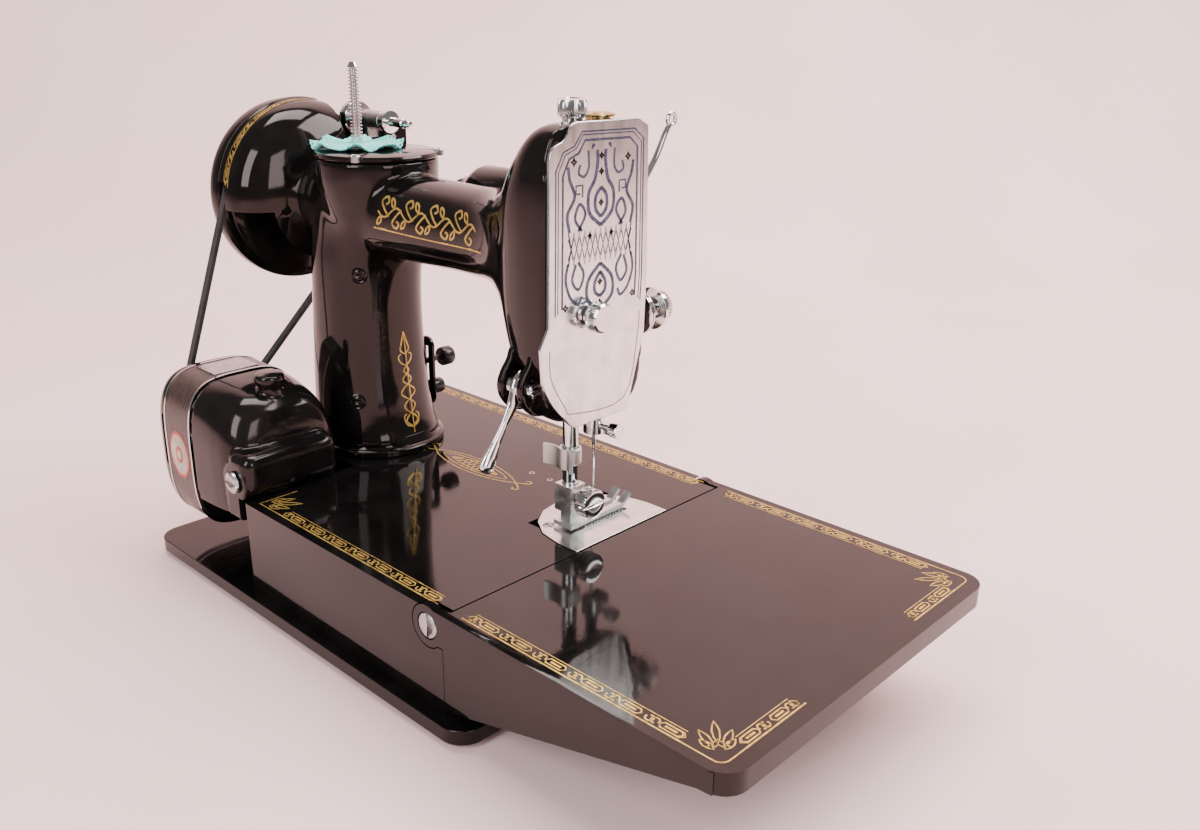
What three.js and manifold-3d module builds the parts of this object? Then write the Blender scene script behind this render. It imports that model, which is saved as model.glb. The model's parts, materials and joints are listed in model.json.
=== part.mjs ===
// Portable lock-stitch sewing machine with a folding bed leaf, in millimetres, +Z up.
// +X runs from the leaf to the handwheel, -Y is the operator's side.
// Every shape below is drawn in the machine frame: x = 0 on the seam between bed and leaf, z = 0 on the
// deck. The exported group moves that frame, so that its origin is under the middle of the machine.
import * as THREE from 'three';
import { mergeVertices } from 'three/addons/utils/BufferGeometryUtils.js';
import Module from 'manifold-3d';

const wasm = await Module();
wasm.setup();

// ---------------------------------------------------------------- driving dimensions
const GAP = 0.3; // clearance between pieces that touch
const DECK_HALF = 87.5; // half of the deck's 175 mm width
const LEAF_END = -136.3;
const BED_END = 225;
const CORNER_X = 145; // where the bed is cut back for the motor
const CORNER_Y = 26;
const TRAY_HALF = 93.3;
const TRAY_TOP = -44.4;
const TRAY_BOTTOM = -51;
const GROUND = -53.5;
const RIGHT_END = 251.7; // outer face of the clutch knob
const SKIN = 4; // casting wall thickness

const HINGE = { x: 9.2, z: -8.1, ear: 9 };
const SHAFT = { y: -8, z: 124.2 }; // main shaft in the arm
const NEEDLE = { x: 20, y: -16.5 };
const PRESSER = { x: 20, y: -1.8 };
const HOOK_Z = -23; // axis of the hook under the deck
const PILLAR = { x: 172, y: -8, top: 138 };
const WHEEL = { radius: 47, groove: 40.5 };
const BELT = { start: 226, width: 4, thick: 2.6 };
const MOTOR = { y: 58, z: 7.5, halfY: 30, halfZ: 39, start: 150, end: 225 };
const MOTOR_PULLEY = { y: 64, z: 11, groove: 9.5 };
const BOSS = { x: 159, y: -8, radius: 29.5, top: 151.6 };
const WINDER = { pivotY: -46, pivotZ: 152, spindleY: -36, spindleZ: 161 };
const SPOOL = { x: 172, y: -6, top: 192 };
const TENSION = { x: 14, z: 93.5 };

// ---------------------------------------------------------------- solids
const machine = new THREE.Group();
machine.position.set(-(LEAF_END + RIGHT_END) / 2, 0, -GROUND);

/** A closed three.js geometry as a manifold solid. */
function solid(geometry) {
  const bare = geometry.clone();
  bare.deleteAttribute('normal');
  bare.deleteAttribute('uv');
  const welded = mergeVertices(bare, 1e-4);
  const faces = welded.index.array;
  const kept = [];
  for (let i = 0; i < faces.length; i += 3) {
    const [a, b, c] = [faces[i], faces[i + 1], faces[i + 2]];
    if (a !== b && b !== c && c !== a) kept.push(a, b, c);
  }
  return new wasm.Manifold(new wasm.Mesh({
    numProp: 3,
    vertProperties: Float32Array.from(welded.attributes.position.array),
    triVerts: Uint32Array.from(kept),
  }));
}

/** A manifold solid as a flat-shaded three.js geometry. */
function surface(shape) {
  const mesh = shape.getMesh();
  const geometry = new THREE.BufferGeometry();
  geometry.setAttribute('position', new THREE.BufferAttribute(mesh.vertProperties, 3));
  geometry.setIndex(new THREE.BufferAttribute(mesh.triVerts, 1));
  geometry.computeVertexNormals();
  return geometry;
}

/** Adds one named sub-part with its own material. */
function add(name, shape, color, roughness = 0.2, metalness = 0) {
  const material = new THREE.MeshStandardMaterial({ color, roughness, metalness });
  const mesh = new THREE.Mesh(surface(shape), material);
  mesh.name = name;
  machine.add(mesh);
}

const join = (first, ...others) => others.reduce((sum, shape) => sum.add(shape), first);
const cut = (first, ...others) => others.reduce((rest, shape) => rest.subtract(shape), first);

/** A box from its low and high limits along each axis. */
function block([x0, x1], [y0, y1], [z0, z1]) {
  const box = new THREE.BoxGeometry(x1 - x0, y1 - y0, z1 - z0);
  box.translate((x0 + x1) / 2, (y0 + y1) / 2, (z0 + z1) / 2);
  return solid(box);
}

/** Turns a geometry made along +Y so that +Y lies along the named axis. */
function alongAxis(geometry, axis) {
  if (axis === 'x') geometry.rotateZ(-Math.PI / 2);
  if (axis === 'z') geometry.rotateX(Math.PI / 2);
  return geometry;
}

/** A round body turned about an axis through origin; the profile is a list of [radius, distance]. */
function turned(axis, origin, profile, segments = 20) {
  const points = profile.map(([radius, at]) => new THREE.Vector2(radius, at));
  const lathe = alongAxis(new THREE.LatheGeometry(points, segments), axis);
  lathe.translate(...origin);
  return solid(lathe);
}

/** A plain cylinder along an axis, from one coordinate on it to another. */
function rod(axis, origin, from, to, radius, segments = 14) {
  return turned(axis, origin, [[0, from], [radius, from], [radius, to], [0, to]], segments);
}

/** A rounded rectangle in the plan, extruded upwards. */
function roundedPlate([x0, x1], [y0, y1], [z0, z1], radius, curveSegments = 5) {
  const outline = new THREE.Shape();
  outline.moveTo(x0 + radius, y0);
  outline.lineTo(x1 - radius, y0);
  outline.absarc(x1 - radius, y0 + radius, radius, -Math.PI / 2, 0, false);
  outline.absarc(x1 - radius, y1 - radius, radius, 0, Math.PI / 2, false);
  outline.absarc(x0 + radius, y1 - radius, radius, Math.PI / 2, Math.PI, false);
  outline.absarc(x0 + radius, y0 + radius, radius, Math.PI, Math.PI * 1.5, false);
  const plate = new THREE.ExtrudeGeometry(outline, { depth: z1 - z0, bevelEnabled: false, curveSegments });
  plate.translate(0, 0, z0);
  return solid(plate);
}

/** An outline given as [x, z] points, extruded along Y. */
function sideProfile(points, y0, y1) {
  const outline = new THREE.Shape(points.map(([x, z]) => new THREE.Vector2(x, z)));
  const slab = new THREE.ExtrudeGeometry(outline, { depth: y1 - y0, bevelEnabled: false });
  slab.rotateX(Math.PI / 2);
  slab.translate(0, y1, 0);
  return solid(slab);
}

/** An outline given as [y, z] points, extruded along X. */
function endProfile(points, x0, x1) {
  const outline = new THREE.Shape(points.map(([y, z]) => new THREE.Vector2(y, z)));
  const slab = new THREE.ExtrudeGeometry(outline, { depth: x1 - x0, bevelEnabled: false });
  slab.rotateX(Math.PI / 2);
  slab.rotateZ(Math.PI / 2);
  slab.translate(x0, 0, 0);
  return solid(slab);
}

/** A tube along a smooth curve through the given points. */
function tube(points, radius, steps, sides = 8) {
  const path = new THREE.CatmullRomCurve3(points.map((p) => new THREE.Vector3(...p)));
  const section = new THREE.Shape();
  section.absarc(0, 0, radius, 0, Math.PI * 2, false);
  return solid(new THREE.ExtrudeGeometry(section, {
    extrudePath: path, steps, curveSegments: sides, bevelEnabled: false,
  }));
}

/**
 * A body whose cross-section changes along an axis. Each section is a superellipse:
 * at = distance along the axis, mid = its centre, half = its half sizes, power = 2 for an ellipse and
 * more for squarer corners.
 */
function loft(axis, sections, segments = 28) {
  const body = new THREE.CylinderGeometry(1, 1, sections.length - 1, segments, sections.length - 1);
  body.translate(0, (sections.length - 1) / 2, 0);
  const position = body.attributes.position;
  for (let i = 0; i < position.count; i += 1) {
    const { at, mid, half, power } = sections[Math.round(position.getY(i))];
    const [c, s] = [position.getX(i), position.getZ(i)];
    const u = Math.sign(c) * Math.abs(c) ** (2 / power) * half[0];
    const v = Math.sign(s) * Math.abs(s) ** (2 / power) * half[1];
    if (axis === 'z') position.setXYZ(i, mid[0] + u, mid[1] - v, at);
    if (axis === 'x') position.setXYZ(i, at, mid[0] + u, mid[1] + v);
  }
  if (axis === 'x') {
    const order = body.index.array;
    for (let i = 0; i < order.length; i += 3) [order[i + 1], order[i + 2]] = [order[i + 2], order[i + 1]];
  }
  const shape = solid(body);
  return shape.volume() > 0 ? shape : solid(flipped(body));
}

/** The same closed geometry with its faces turned over. */
function flipped(geometry) {
  const copy = geometry.clone();
  const order = copy.index.array;
  for (let i = 0; i < order.length; i += 3) [order[i + 1], order[i + 2]] = [order[i + 2], order[i + 1]];
  return copy;
}

// ---------------------------------------------------------------- finishes
const BLACK = 0x0b0a0a;
const CHROME = 0xd8d8d6;
const STEEL = 0xa9aaab;
const BRASS = 0xb08d4a;
const RUBBER = 0x1a1a1a;
const black = (name, shape) => add(name, shape, BLACK, 0.12, 0);
const chrome = (name, shape) => add(name, shape, CHROME, 0.12, 1);
const steel = (name, shape) => add(name, shape, STEEL, 0.3, 1);

// ---------------------------------------------------------------- tray and feet
function makeTray() {
  const outer = roundedPlate([-16, 231], [-TRAY_HALF, TRAY_HALF], [TRAY_BOTTOM, TRAY_TOP], 11);
  const [floor, above] = [TRAY_BOTTOM + 2, TRAY_TOP + 1];
  const recess = join(
    roundedPlate([-8, CORNER_X - 8], [-82, 82], [floor, above], 6),
    roundedPlate([-8, BED_END - 6], [-82, CORNER_Y - 8], [floor, above], 6),
  );
  black('drip_tray', outer.subtract(recess));
  const corners = [[0, 78], [0, -78], [215, -78], [215, 78]];
  corners.forEach(([x, y], i) => {
    const foot = turned('z', [x, y, 0], [
      [0, GROUND], [7, GROUND], [8, GROUND + 1], [8, TRAY_BOTTOM - GAP], [0, TRAY_BOTTOM - GAP],
    ], 16);
    add(`rubber_foot_${i + 1}`, foot, RUBBER, 0.8);
  });
}

// ---------------------------------------------------------------- bed
/** The bed's plan, cut back at the rear right corner for the motor, shrunk inwards by inset. */
function bedPlan(inset) {
  const outline = new THREE.Shape();
  const [left, right, half] = [GAP / 2 + inset, BED_END - inset, DECK_HALF - inset];
  const [stepX, stepY] = [CORNER_X - inset, CORNER_Y - inset];
  outline.moveTo(left, -half);
  outline.lineTo(right - 10, -half);
  outline.absarc(right - 10, -half + 10, 10, -Math.PI / 2, 0, false);
  outline.lineTo(right, stepY - 4);
  outline.absarc(right - 4, stepY - 4, 4, 0, Math.PI / 2, false);
  outline.lineTo(stepX, stepY);
  outline.lineTo(stepX, half - 3);
  outline.absarc(stepX - 3, half - 3, 3, 0, Math.PI / 2, false);
  outline.lineTo(left, half);
  return outline;
}

function extrudedPlan(outline, z0, z1) {
  const geometry = new THREE.ExtrudeGeometry(outline, {
    depth: z1 - z0, bevelEnabled: false, curveSegments: 4,
  });
  geometry.translate(0, 0, z0);
  return solid(geometry);
}

const plateDepth = 42;
const plateMiddle = -15.5;
const plateHalf = 29.5;

/** The D-shaped plan of the needle plate, grown outwards by extra. */
function needlePlatePlan(extra) {
  const outline = new THREE.Shape();
  const [edge, depth, half] = [GAP / 2, plateDepth + extra, plateHalf + extra];
  outline.moveTo(edge, plateMiddle - half);
  outline.lineTo(12, plateMiddle - half);
  outline.absellipse(12, plateMiddle, depth - 12, half, -Math.PI / 2, Math.PI / 2, false);
  outline.lineTo(edge, plateMiddle + half);
  return outline;
}

/** Room in the bed for the round ears of the leaf. */
const earRoom = (y0, y1) => join(
  rod('y', [HINGE.x, 0, HINGE.z], y0, y1, HINGE.ear + 0.5, 24),
  block([-1, HINGE.x], [y0, y1], [HINGE.z - HINGE.ear + 2, 2]),
);

function makeBed() {
  const body = extrudedPlan(bedPlan(0), TRAY_TOP + GAP, 0);
  const hollow = extrudedPlan(bedPlan(SKIN), TRAY_TOP - 5, -5);
  const plateSeat = extrudedPlan(needlePlatePlan(0.4), -2, 1);
  const hookWell = block([4, 36], [-40, 9], [-6, 1]);
  const leftOpening = block([-2, 6], [-74, 74], [-40, -6]);
  const pillarHole = rod('z', [PILLAR.x, PILLAR.y, 0], -8, 1, 15);
  const liftSlots = [
    earRoom(DECK_HALF - 6, DECK_HALF + 1),
    earRoom(-DECK_HALF - 1, -DECK_HALF + 6),
  ];
  const bossRing = (x, y) => rod('z', [x, y, 0], -12, -4.5, 5, 12);
  const bosses = [[60, 60], [110, -60], [200, -60]].map(([x, y]) => bossRing(x, y));
  const screwPosts = [1, -1].map((side) => {
    const from = side > 0 ? DECK_HALF - 12 : -DECK_HALF + 6.3;
    return rod('y', [HINGE.x, 0, HINGE.z - 1.5], from, from + 5.7, 6, 16);
  });
  const bed = join(body.subtract(hollow), ...bosses, ...screwPosts);
  black('bed_casting', cut(bed, plateSeat, hookWell, leftOpening, pillarHole, ...liftSlots));
}

// ---------------------------------------------------------------- leaf
function makeLeaf() {
  const top = roundedPlate([LEAF_END, 20], [-DECK_HALF, DECK_HALF], [-5, 0], 10);
  const trimmed = top.intersect(block([LEAF_END - 1, -GAP / 2], [-90, 90], [-10, 1]));
  const skirt = (y0, y1) => sideProfile([
    [-GAP / 2, -0.4], [-GAP / 2, -42], [-12, -39.6], [-124, -9.2], [-130, -8.7], [-130, -0.4],
  ], y0, y1);
  const endWall = roundedPlate([LEAF_END, -60], [-DECK_HALF, DECK_HALF], [-8.7, -1], 10)
    .subtract(roundedPlate([LEAF_END + SKIN, -30], [-DECK_HALF + SKIN, DECK_HALF - SKIN], [-10, 1], 7));
  const ear = (y0, y1) => join(
    rod('y', [HINGE.x, 0, HINGE.z], y0, y1, HINGE.ear, 24),
    block([-4, HINGE.x], [y0, y1], [HINGE.z - HINGE.ear + 2.5, 0]),
  );
  const screwHole = rod('y', [HINGE.x, 0, HINGE.z], -95, 95, 5.8, 20);
  const sides = [
    skirt(DECK_HALF - SKIN, DECK_HALF), skirt(-DECK_HALF, -DECK_HALF + SKIN),
    ear(DECK_HALF - SKIN, DECK_HALF), ear(-DECK_HALF, -DECK_HALF + SKIN),
  ];
  const swingRelief = rod('y', [HINGE.x, 0, HINGE.z], -DECK_HALF + SKIN, DECK_HALF - SKIN, 12.8, 28);
  const body = join(trimmed, endWall, ...sides);
  black('bed_leaf', cut(body, screwHole, swingRelief));
  [['rear', 1], ['front', -1]].forEach(([word, side]) => {
    const profile = [
      [0, DECK_HALF - 5.6], [4, DECK_HALF - 5.6], [4, DECK_HALF - 2.5], [5.5, DECK_HALF - 2.5],
      [5.5, DECK_HALF - 0.4], [5, DECK_HALF], [0, DECK_HALF],
    ];
    const ordered = side > 0 ? profile : profile.map(([r, t]) => [r, -t]).reverse();
    const screw = turned('y', [HINGE.x, 0, HINGE.z], ordered, 20);
    const slot = block([HINGE.x - 0.6, HINGE.x + 0.6], side > 0 ? [86.6, 90] : [-90, -86.6], [-14, -2]);
    steel(`leaf_screw_${word}`, screw.subtract(slot));
  });
}

// ---------------------------------------------------------------- needle plate, feed and hook
function makeStitchParts() {
  const plate = extrudedPlan(needlePlatePlan(0), -1.7, 0.4);
  const needleHole = rod('z', [NEEDLE.x, NEEDLE.y, 0], -3, 2, 1.1, 12);
  const slots = [block([13.6, 16.6], [-33, -2], [-3, 2]), block([22.4, 25.4], [-33, -2], [-3, 2])];
  const screwHoles = [4.5, -36].map((y) => rod('z', [27, y, 0], -3, 2, 2.6, 14));
  chrome('needle_plate', cut(plate, needleHole, ...slots, ...screwHoles));
  [['rear', 4.5], ['front', -36]].forEach(([word, y]) => {
    const screw = rod('z', [27, y, 0], -5.8, 0.2, 2.2, 14);
    steel(`needle_plate_screw_${word}`, screw.subtract(block([24, 30], [y - 0.3, y + 0.3], [-0.5, 1])));
  });
  const teeth = (x) => {
    const points = [[-31, -4], [-31, 0.2]];
    for (let y = -31; y < -5; y += 2) points.push([y, 0.2], [y + 1, 1.2]);
    points.push([-5, 0.2], [-5, -4]);
    return endProfile(points, x, x + 2.4);
  };
  const feedBase = block([13.9, 25.1], [-31, -26], [-5, -3.2]);
  const feedRear = block([13.9, 25.1], [-10, -5], [-5, -3.2]);
  steel('feed_dog', join(teeth(13.9), teeth(22.7), feedBase, feedRear));

  const hookAt = [0, NEEDLE.y, HOOK_Z];
  const disc = turned('x', hookAt, [
    [0, 22], [14, 22], [16, 23], [16, 28], [9, 30], [0, 30],
  ], 20);
  const point = block([21, 24], [NEEDLE.y - 3, NEEDLE.y + 4], [HOOK_Z - 15.5, HOOK_Z - 12.5]);
  chrome('rotating_hook', disc.add(point).subtract(rod('x', hookAt, 20, 32, 3.5)));
  steel('hook_shaft', rod('x', hookAt, 22.3, 190, 3.2, 16));
  const caseBody = turned('x', hookAt, [
    [0, 3.2], [10.4, 3.2], [11, 4], [11, 18.5], [9.8, 18.5], [9.8, 5], [0, 5],
  ], 20);
  const latch = block([2, 4], [NEEDLE.y - 8, NEEDLE.y + 3], [HOOK_Z - 2.5, HOOK_Z + 2.5]);
  chrome('bobbin_case', join(caseBody, latch));
  steel('thread_bobbin', turned('x', hookAt, [
    [2.6, 5.6], [9.3, 5.6], [9.3, 6.4], [4, 6.4],
    [4, 16.6], [9.3, 16.6], [9.3, 17.4], [2.6, 17.4], [2.6, 5.6],
  ], 22));
}

// ---------------------------------------------------------------- arm casting
const headOutline = [
  { at: 5.9, mid: [-2, 117], half: [29.5, 59.6], power: 5 },
  { at: 14, mid: [-2, 117], half: [29.5, 59.6], power: 5 },
  { at: 22, mid: [-2, 118], half: [29, 55], power: 4.5 },
  { at: 32, mid: [-3, 121], half: [28, 43], power: 4 },
  { at: 44, mid: [-5, 124], half: [24.5, 29], power: 3.2 },
  { at: 58, mid: [-7, 124], half: [21.5, 22], power: 2.6 },
  { at: 74, mid: [-8, 123], half: [20, 19.8], power: 2.3 },
  { at: 120, mid: [-8, 122.4], half: [20.5, 20], power: 2.3 },
  { at: 160, mid: [-8, 122.4], half: [22, 21], power: 2.3 },
  { at: 196, mid: [-8, 124], half: [20.5, 20.5], power: 2 },
];

const pillarSections = [
  { at: GAP, mid: [169.5, -8], half: [34, 33], power: 2.5 },
  { at: 3.6, mid: [169.5, -8], half: [34, 33], power: 2.5 },
  { at: 5.2, mid: [170, -7.6], half: [32, 31.4], power: 2.5 },
  { at: 12, mid: [171, -7], half: [30.4, 29.6], power: 2.5 },
  { at: 30, mid: [172.5, -6.6], half: [28.6, 28], power: 2.6 },
  { at: 70, mid: [173, -7], half: [26.6, 26.2], power: 2.6 },
  { at: 95, mid: [172, -7.6], half: [27.4, 25.6], power: 2.6 },
  { at: 112, mid: [168, -8], half: [31.5, 24.5], power: 2.6 },
  { at: 128, mid: [164, -8], half: [35, 23], power: 2.6 },
  { at: PILLAR.top, mid: [163, -8], half: [30, 16], power: 2.4 },
];

/** The bell-shaped guard round the handwheel, open to the right and below its cut. */
function beltGuard() {
  const shell = turned('x', [0, SHAFT.y, SHAFT.z], [
    [15, 190], [21, 190], [23, 198], [32, 203], [40, 208], [45, 215], [47, 222], [47, 229.5],
    [44.6, 229.5], [44.6, 221.5], [42, 214.5], [35, 208.5], [26, 205], [18, 203], [15, 203], [15, 190],
  ], 22);
  const below = block([203.2, 240], [-70, 60], [60, SHAFT.z - 5]);
  const front = block([203.2, 240], [-70, -20], [60, 190]);
  const beltExit = block([224.5, 240], [32, 60], [60, 133]);
  return cut(shell, below, front, beltExit);
}

function makeArm() {
  const head = loft('x', headOutline, 20);
  const pillar = loft('z', pillarSections, 20);
  const boss = turned('z', [BOSS.x, BOSS.y, 0], [
    [0, 118], [BOSS.radius - 4, 118], [BOSS.radius, 134], [BOSS.radius, BOSS.top - 3], [0, BOSS.top - 3],
  ], 22);
  const lifterLug = join(
    block([13, 27], [18, 34], [64, 84]),
    rod('x', [0, 27.5, 73], 13, 27, 6.5, 16),
  );
  const winderFoot = block([192, 212], [WINDER.pivotY - 10, -16], [132, WINDER.pivotZ - 9]);
  const outside = join(head, pillar, boss, beltGuard(), lifterLug, winderFoot);

  const headCavity = loft('x', [
    { at: 4, mid: [-3, 117], half: [23, 53], power: 5 },
    { at: 27, mid: [-3, 119], half: [22, 46], power: 4.5 },
    { at: 36, mid: [-5, 122], half: [16, 30], power: 3 },
  ], 20);
  const barBores = join(
    rod('z', [PRESSER.x, PRESSER.y, 0], 50, 80, 3.75, 16),
    rod('z', [NEEDLE.x, NEEDLE.y, 0], 50, 80, 3.35, 16),
  );
  const shaftBore = rod('x', [0, SHAFT.y, SHAFT.z], 30, 206, 13, 20);
  const pillarCavity = rod('z', [PILLAR.x, PILLAR.y, 0], -1, 124, 15, 20);
  const bossWell = rod('z', [BOSS.x, BOSS.y, 0], 128, 160, 19, 24);
  const topBores = join(
    rod('z', [PRESSER.x, PRESSER.y, 0], 150, 182, 4.4, 16),
    rod('z', [NEEDLE.x, NEEDLE.y, 0], 150, 182, 5.4, 16),
  );
  const takeUpSlot = block([9.5, 16.5], [-40, -20], [116, 172]);
  const tensionBore = rod('y', [TENSION.x, 0, TENSION.z], -45, -20, 3.4, 14);
  const leverSlot = block([16, 24], [14, 40], [60, 90]);
  const leverBore = rod('x', [0, 27.5, 73], 12, 28, 2.2, 12);
  const stitchSlot = block([162.2, 165.8], [-44, -20], [18, 46]);
  black('arm_casting', cut(
    outside, headCavity, barBores, shaftBore, pillarCavity, bossWell, topBores, takeUpSlot,
    tensionBore, leverSlot, leverBore, stitchSlot,
  ));
}

// ---------------------------------------------------------------- arm fittings
function makeArmFittings() {
  const coverTop = BOSS.top;
  const spoolHole = rod('z', [SPOOL.x, SPOOL.y, 0], 140, 160, 3.3, 12);
  const screwSpots = [[139, -30], [142, 16]];
  const holes = screwSpots.map(([x, y]) => rod('z', [x, y, 0], 140, 160, 2.7, 12));
  const cover = turned('z', [BOSS.x, BOSS.y, 0], [
    [0, coverTop - 2.7], [BOSS.radius, coverTop - 2.7], [BOSS.radius, coverTop - 0.8],
    [BOSS.radius - 0.8, coverTop], [0, coverTop],
  ], 24);
  black('arm_cover', cut(cover, spoolHole, ...holes));
  screwSpots.forEach(([x, y], i) => {
    const screw = turned('z', [x, y, 0], [
      [0, coverTop - 2.4], [2.3, coverTop - 2.4], [2.3, coverTop + 0.6], [1.6, coverTop + 1.2],
      [0, coverTop + 1.2],
    ], 14);
    steel(`cover_screw_${i + 1}`, screw.subtract(block([x - 0.35, x + 0.35], [y - 4, y + 4], [152.2, 154])));
  });
  const pin = [
    [0, coverTop - 2.4], [2.9, coverTop - 2.4], [2.9, SPOOL.top - 2], [1.6, SPOOL.top], [0, SPOOL.top],
  ];
  chrome('spool_pin', turned('z', [SPOOL.x, SPOOL.y, 0], pin, 12));
  add('spool_doily', turned('z', [SPOOL.x, SPOOL.y, 0], [
    [3.4, coverTop + 1.6], [20, coverTop + 1.6], [22, coverTop + 2.2], [22, coverTop + 3.6],
    [3.4, coverTop + 3.6], [3.4, coverTop + 1.6],
  ], 20), 0x8fe3d8, 0.95);

  const shaft = turned('x', [0, SHAFT.y, SHAFT.z], [
    [0, 36.5], [9, 36.5], [9, 42], [4.2, 42], [4.2, 178.5], [6.1, 178.5], [10.6, 183], [10.6, 185],
    [4.2, 185], [4.2, 239.9], [0, 239.9],
  ], 20);
  steel('main_shaft', shaft);
  steel('upright_shaft', turned('z', [PILLAR.x, PILLAR.y, 0], [
    [0, -38], [3.8, -38], [3.8, -31], [5, -31], [5, -15], [3.8, -15], [3.8, 111.4], [10.6, 111.4],
    [10.6, 113.2], [6.1, 117.7], [0, 117.7],
  ], 20));
}

// ---------------------------------------------------------------- head fittings
function makeHeadFittings() {
  const outline = new THREE.Shape();
  outline.moveTo(11.8, 55);
  outline.bezierCurveTo(15, 56.4, 16, 58.5, 17.6, 60);
  outline.bezierCurveTo(23, 64.5, 28, 71, 29.9, 78);
  outline.lineTo(30.9, 92);
  outline.lineTo(26.6, 99.8);
  outline.lineTo(26.2, 164);
  outline.bezierCurveTo(26, 169, 22, 170, 19.5, 170.4);
  outline.bezierCurveTo(17, 171.5, 14.6, 177.3, 11.9, 177.3);
  outline.lineTo(-23.6, 176.7);
  outline.lineTo(-29.2, 173.7);
  outline.lineTo(-30.7, 113.7);
  outline.lineTo(-29.9, 88.7);
  outline.lineTo(-20.2, 55.2);
  const sheet = new THREE.ExtrudeGeometry(outline, { depth: 1.6, bevelEnabled: false, curveSegments: 5 });
  sheet.rotateX(Math.PI / 2);
  sheet.rotateZ(Math.PI / 2);
  sheet.translate(4, 0, 0);
  const screwHole = rod('x', [0, 3.6, 101.5], 0, 8, 2.2, 12);
  chrome('face_plate', solid(sheet).subtract(screwHole));
  chrome('face_plate_screw', turned('x', [0, 3.6, 101.5], [
    [0, -4.2], [5.6, -4.2], [6.2, -3.4], [6.2, 0.8], [4.4, 1.8], [4.4, 3.6], [1.9, 3.6], [1.9, 9], [0, 9],
  ], 20));

  chrome('needle_bar', turned('z', [NEEDLE.x, NEEDLE.y, 0], [
    [0, 41], [3, 41], [3, 168], [2.2, 169], [0, 169],
  ], 16));
  const clampRing = rod('z', [NEEDLE.x, NEEDLE.y, 0], 41.5, 49.5, 4.8, 16);
  const clampScrew = turned('x', [0, NEEDLE.y, 45.5], [
    [0, 4.6], [3.1, 4.6], [3.4, 5.2], [3.4, 9], [1.5, 9], [1.5, 16], [0, 16],
  ], 14);
  const guide = block([14.4, 22], [NEEDLE.y - 6, NEEDLE.y - 3.5], [40, 45]);
  const clampBore = rod('z', [NEEDLE.x, NEEDLE.y, 0], 40, 51, 3.3, 16);
  chrome('needle_clamp', join(clampRing, clampScrew, guide).subtract(clampBore));
  chrome('sewing_needle', turned('z', [NEEDLE.x, NEEDLE.y, 0], [
    [0, 11.5], [0.35, 13.5], [0.45, 16], [0.45, 34], [0.9, 36], [0.9, 40.7], [0, 40.7],
  ], 10));

  chrome('presser_bar', turned('z', [PRESSER.x, PRESSER.y, 0], [
    [0, 17.5], [3.4, 17.5], [3.4, 96], [5.4, 96], [5.4, 101], [2.2, 101], [2.2, 160], [0, 160],
  ], 16));
  makePresserFoot();
  const collar = [[2.6, 160.8], [4.1, 160.8], [4.1, 177]];
  chrome('pressure_screw', turned('z', [PRESSER.x, PRESSER.y, 0], [
    ...collar, [5.6, 177.2], [6, 178], [6, 183.4], [5.4, 184.4], [2.6, 184.4], [2.6, 160.8],
  ], 24));
  add('oil_cap', turned('z', [NEEDLE.x, NEEDLE.y, 0], [
    [0, 171], [5, 171], [5, 176.9], [7, 176.9], [7, 178.2], [0, 178.2],
  ], 20), BRASS, 0.3, 1);
  const cutterRing = rod('z', [PRESSER.x, PRESSER.y, 0], 31, 38.5, 5.2, 16);
  const cutterWing = block([13, 31], [PRESSER.y + 3.6, PRESSER.y + 5.6], [29, 39]);
  const cutterBore = rod('z', [PRESSER.x, PRESSER.y, 0], 28, 42, 3.7, 16);
  chrome('thread_cutter', join(cutterRing, cutterWing).subtract(cutterBore));
  makeLifter();
  makeTakeUp();
  makeTension();
}

/** The hinged-toe foot on the presser bar, with its big thumb screw. */
function makePresserFoot() {
  const socket = block([14.6, 24.6], [-6, 3.2], [9, 21.5]);
  const barHole = rod('z', [PRESSER.x, PRESSER.y, 0], 17.2, 30, 3.7, 16);
  const ankle = block([17, 23], [-8, 1], [2.4, 12]);
  const sole = block([14.6, 25.4], [-12, 3], [1.4, 3.4]);
  const toeOutline = [[-11, 1.4], [-11, 3.4], [-31, 3.4], [-36, 7.5], [-37, 6.2], [-31, 1.4]];
  const toe = (x) => endProfile(toeOutline, x, x + 3.6);
  const needleSlot = block([18.6, 21.4], [-40, -9], [0, 9]);
  const foot = join(socket, ankle, sole, toe(14.8), toe(21.6));
  const screwBore = rod('x', [0, PRESSER.y, 15.6], 8, 19, 2.2, 12);
  chrome('presser_foot', cut(foot, barHole, needleSlot, screwBore));
  const thumb = turned('x', [0, PRESSER.y, 15.6], [
    [0, 4.6], [6.2, 4.6], [6.8, 5.4], [6.8, 10.6], [6.2, 11.4],
    [3, 11.4], [3, 14.2], [1.9, 14.2], [1.9, 17.5],
    [0, 17.5],
  ], 24);
  chrome('foot_screw', thumb);
}

function makeLifter() {
  const arm = endProfile([
    [24.5, 76.5], [22.5, 70.5], [26, 68], [40, 52], [45, 40.5], [48.5, 42], [47.5, 53], [33, 74], [29, 78],
  ], 18.4, 21.6);
  const hub = rod('x', [0, 27.5, 73], 16.4, 23.6, 5, 18);
  const pin = rod('x', [0, 27.5, 73], 12.2, 27.8, 1.9, 12);
  chrome('lifter_lever', join(hub, arm, pin));
}

function makeTakeUp() {
  const path = [
    [13, -12, 139], [13, -24, 141], [13, -34, 147], [13, -44, 158], [13, -50, 168], [13, -53, 173],
  ];
  const lever = tube(path, 1.5, 10, 4);
  const hub = rod('x', [0, -12, 139], 10.5, 15.5, 5, 16);
  const eye = rod('x', [0, -54, 174], 11.6, 14.4, 3.4, 16);
  const eyeHole = rod('x', [0, -54, 174], 10, 16, 1.4, 12);
  chrome('take_up_lever', cut(join(lever, hub, eye), eyeHole));
}

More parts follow.
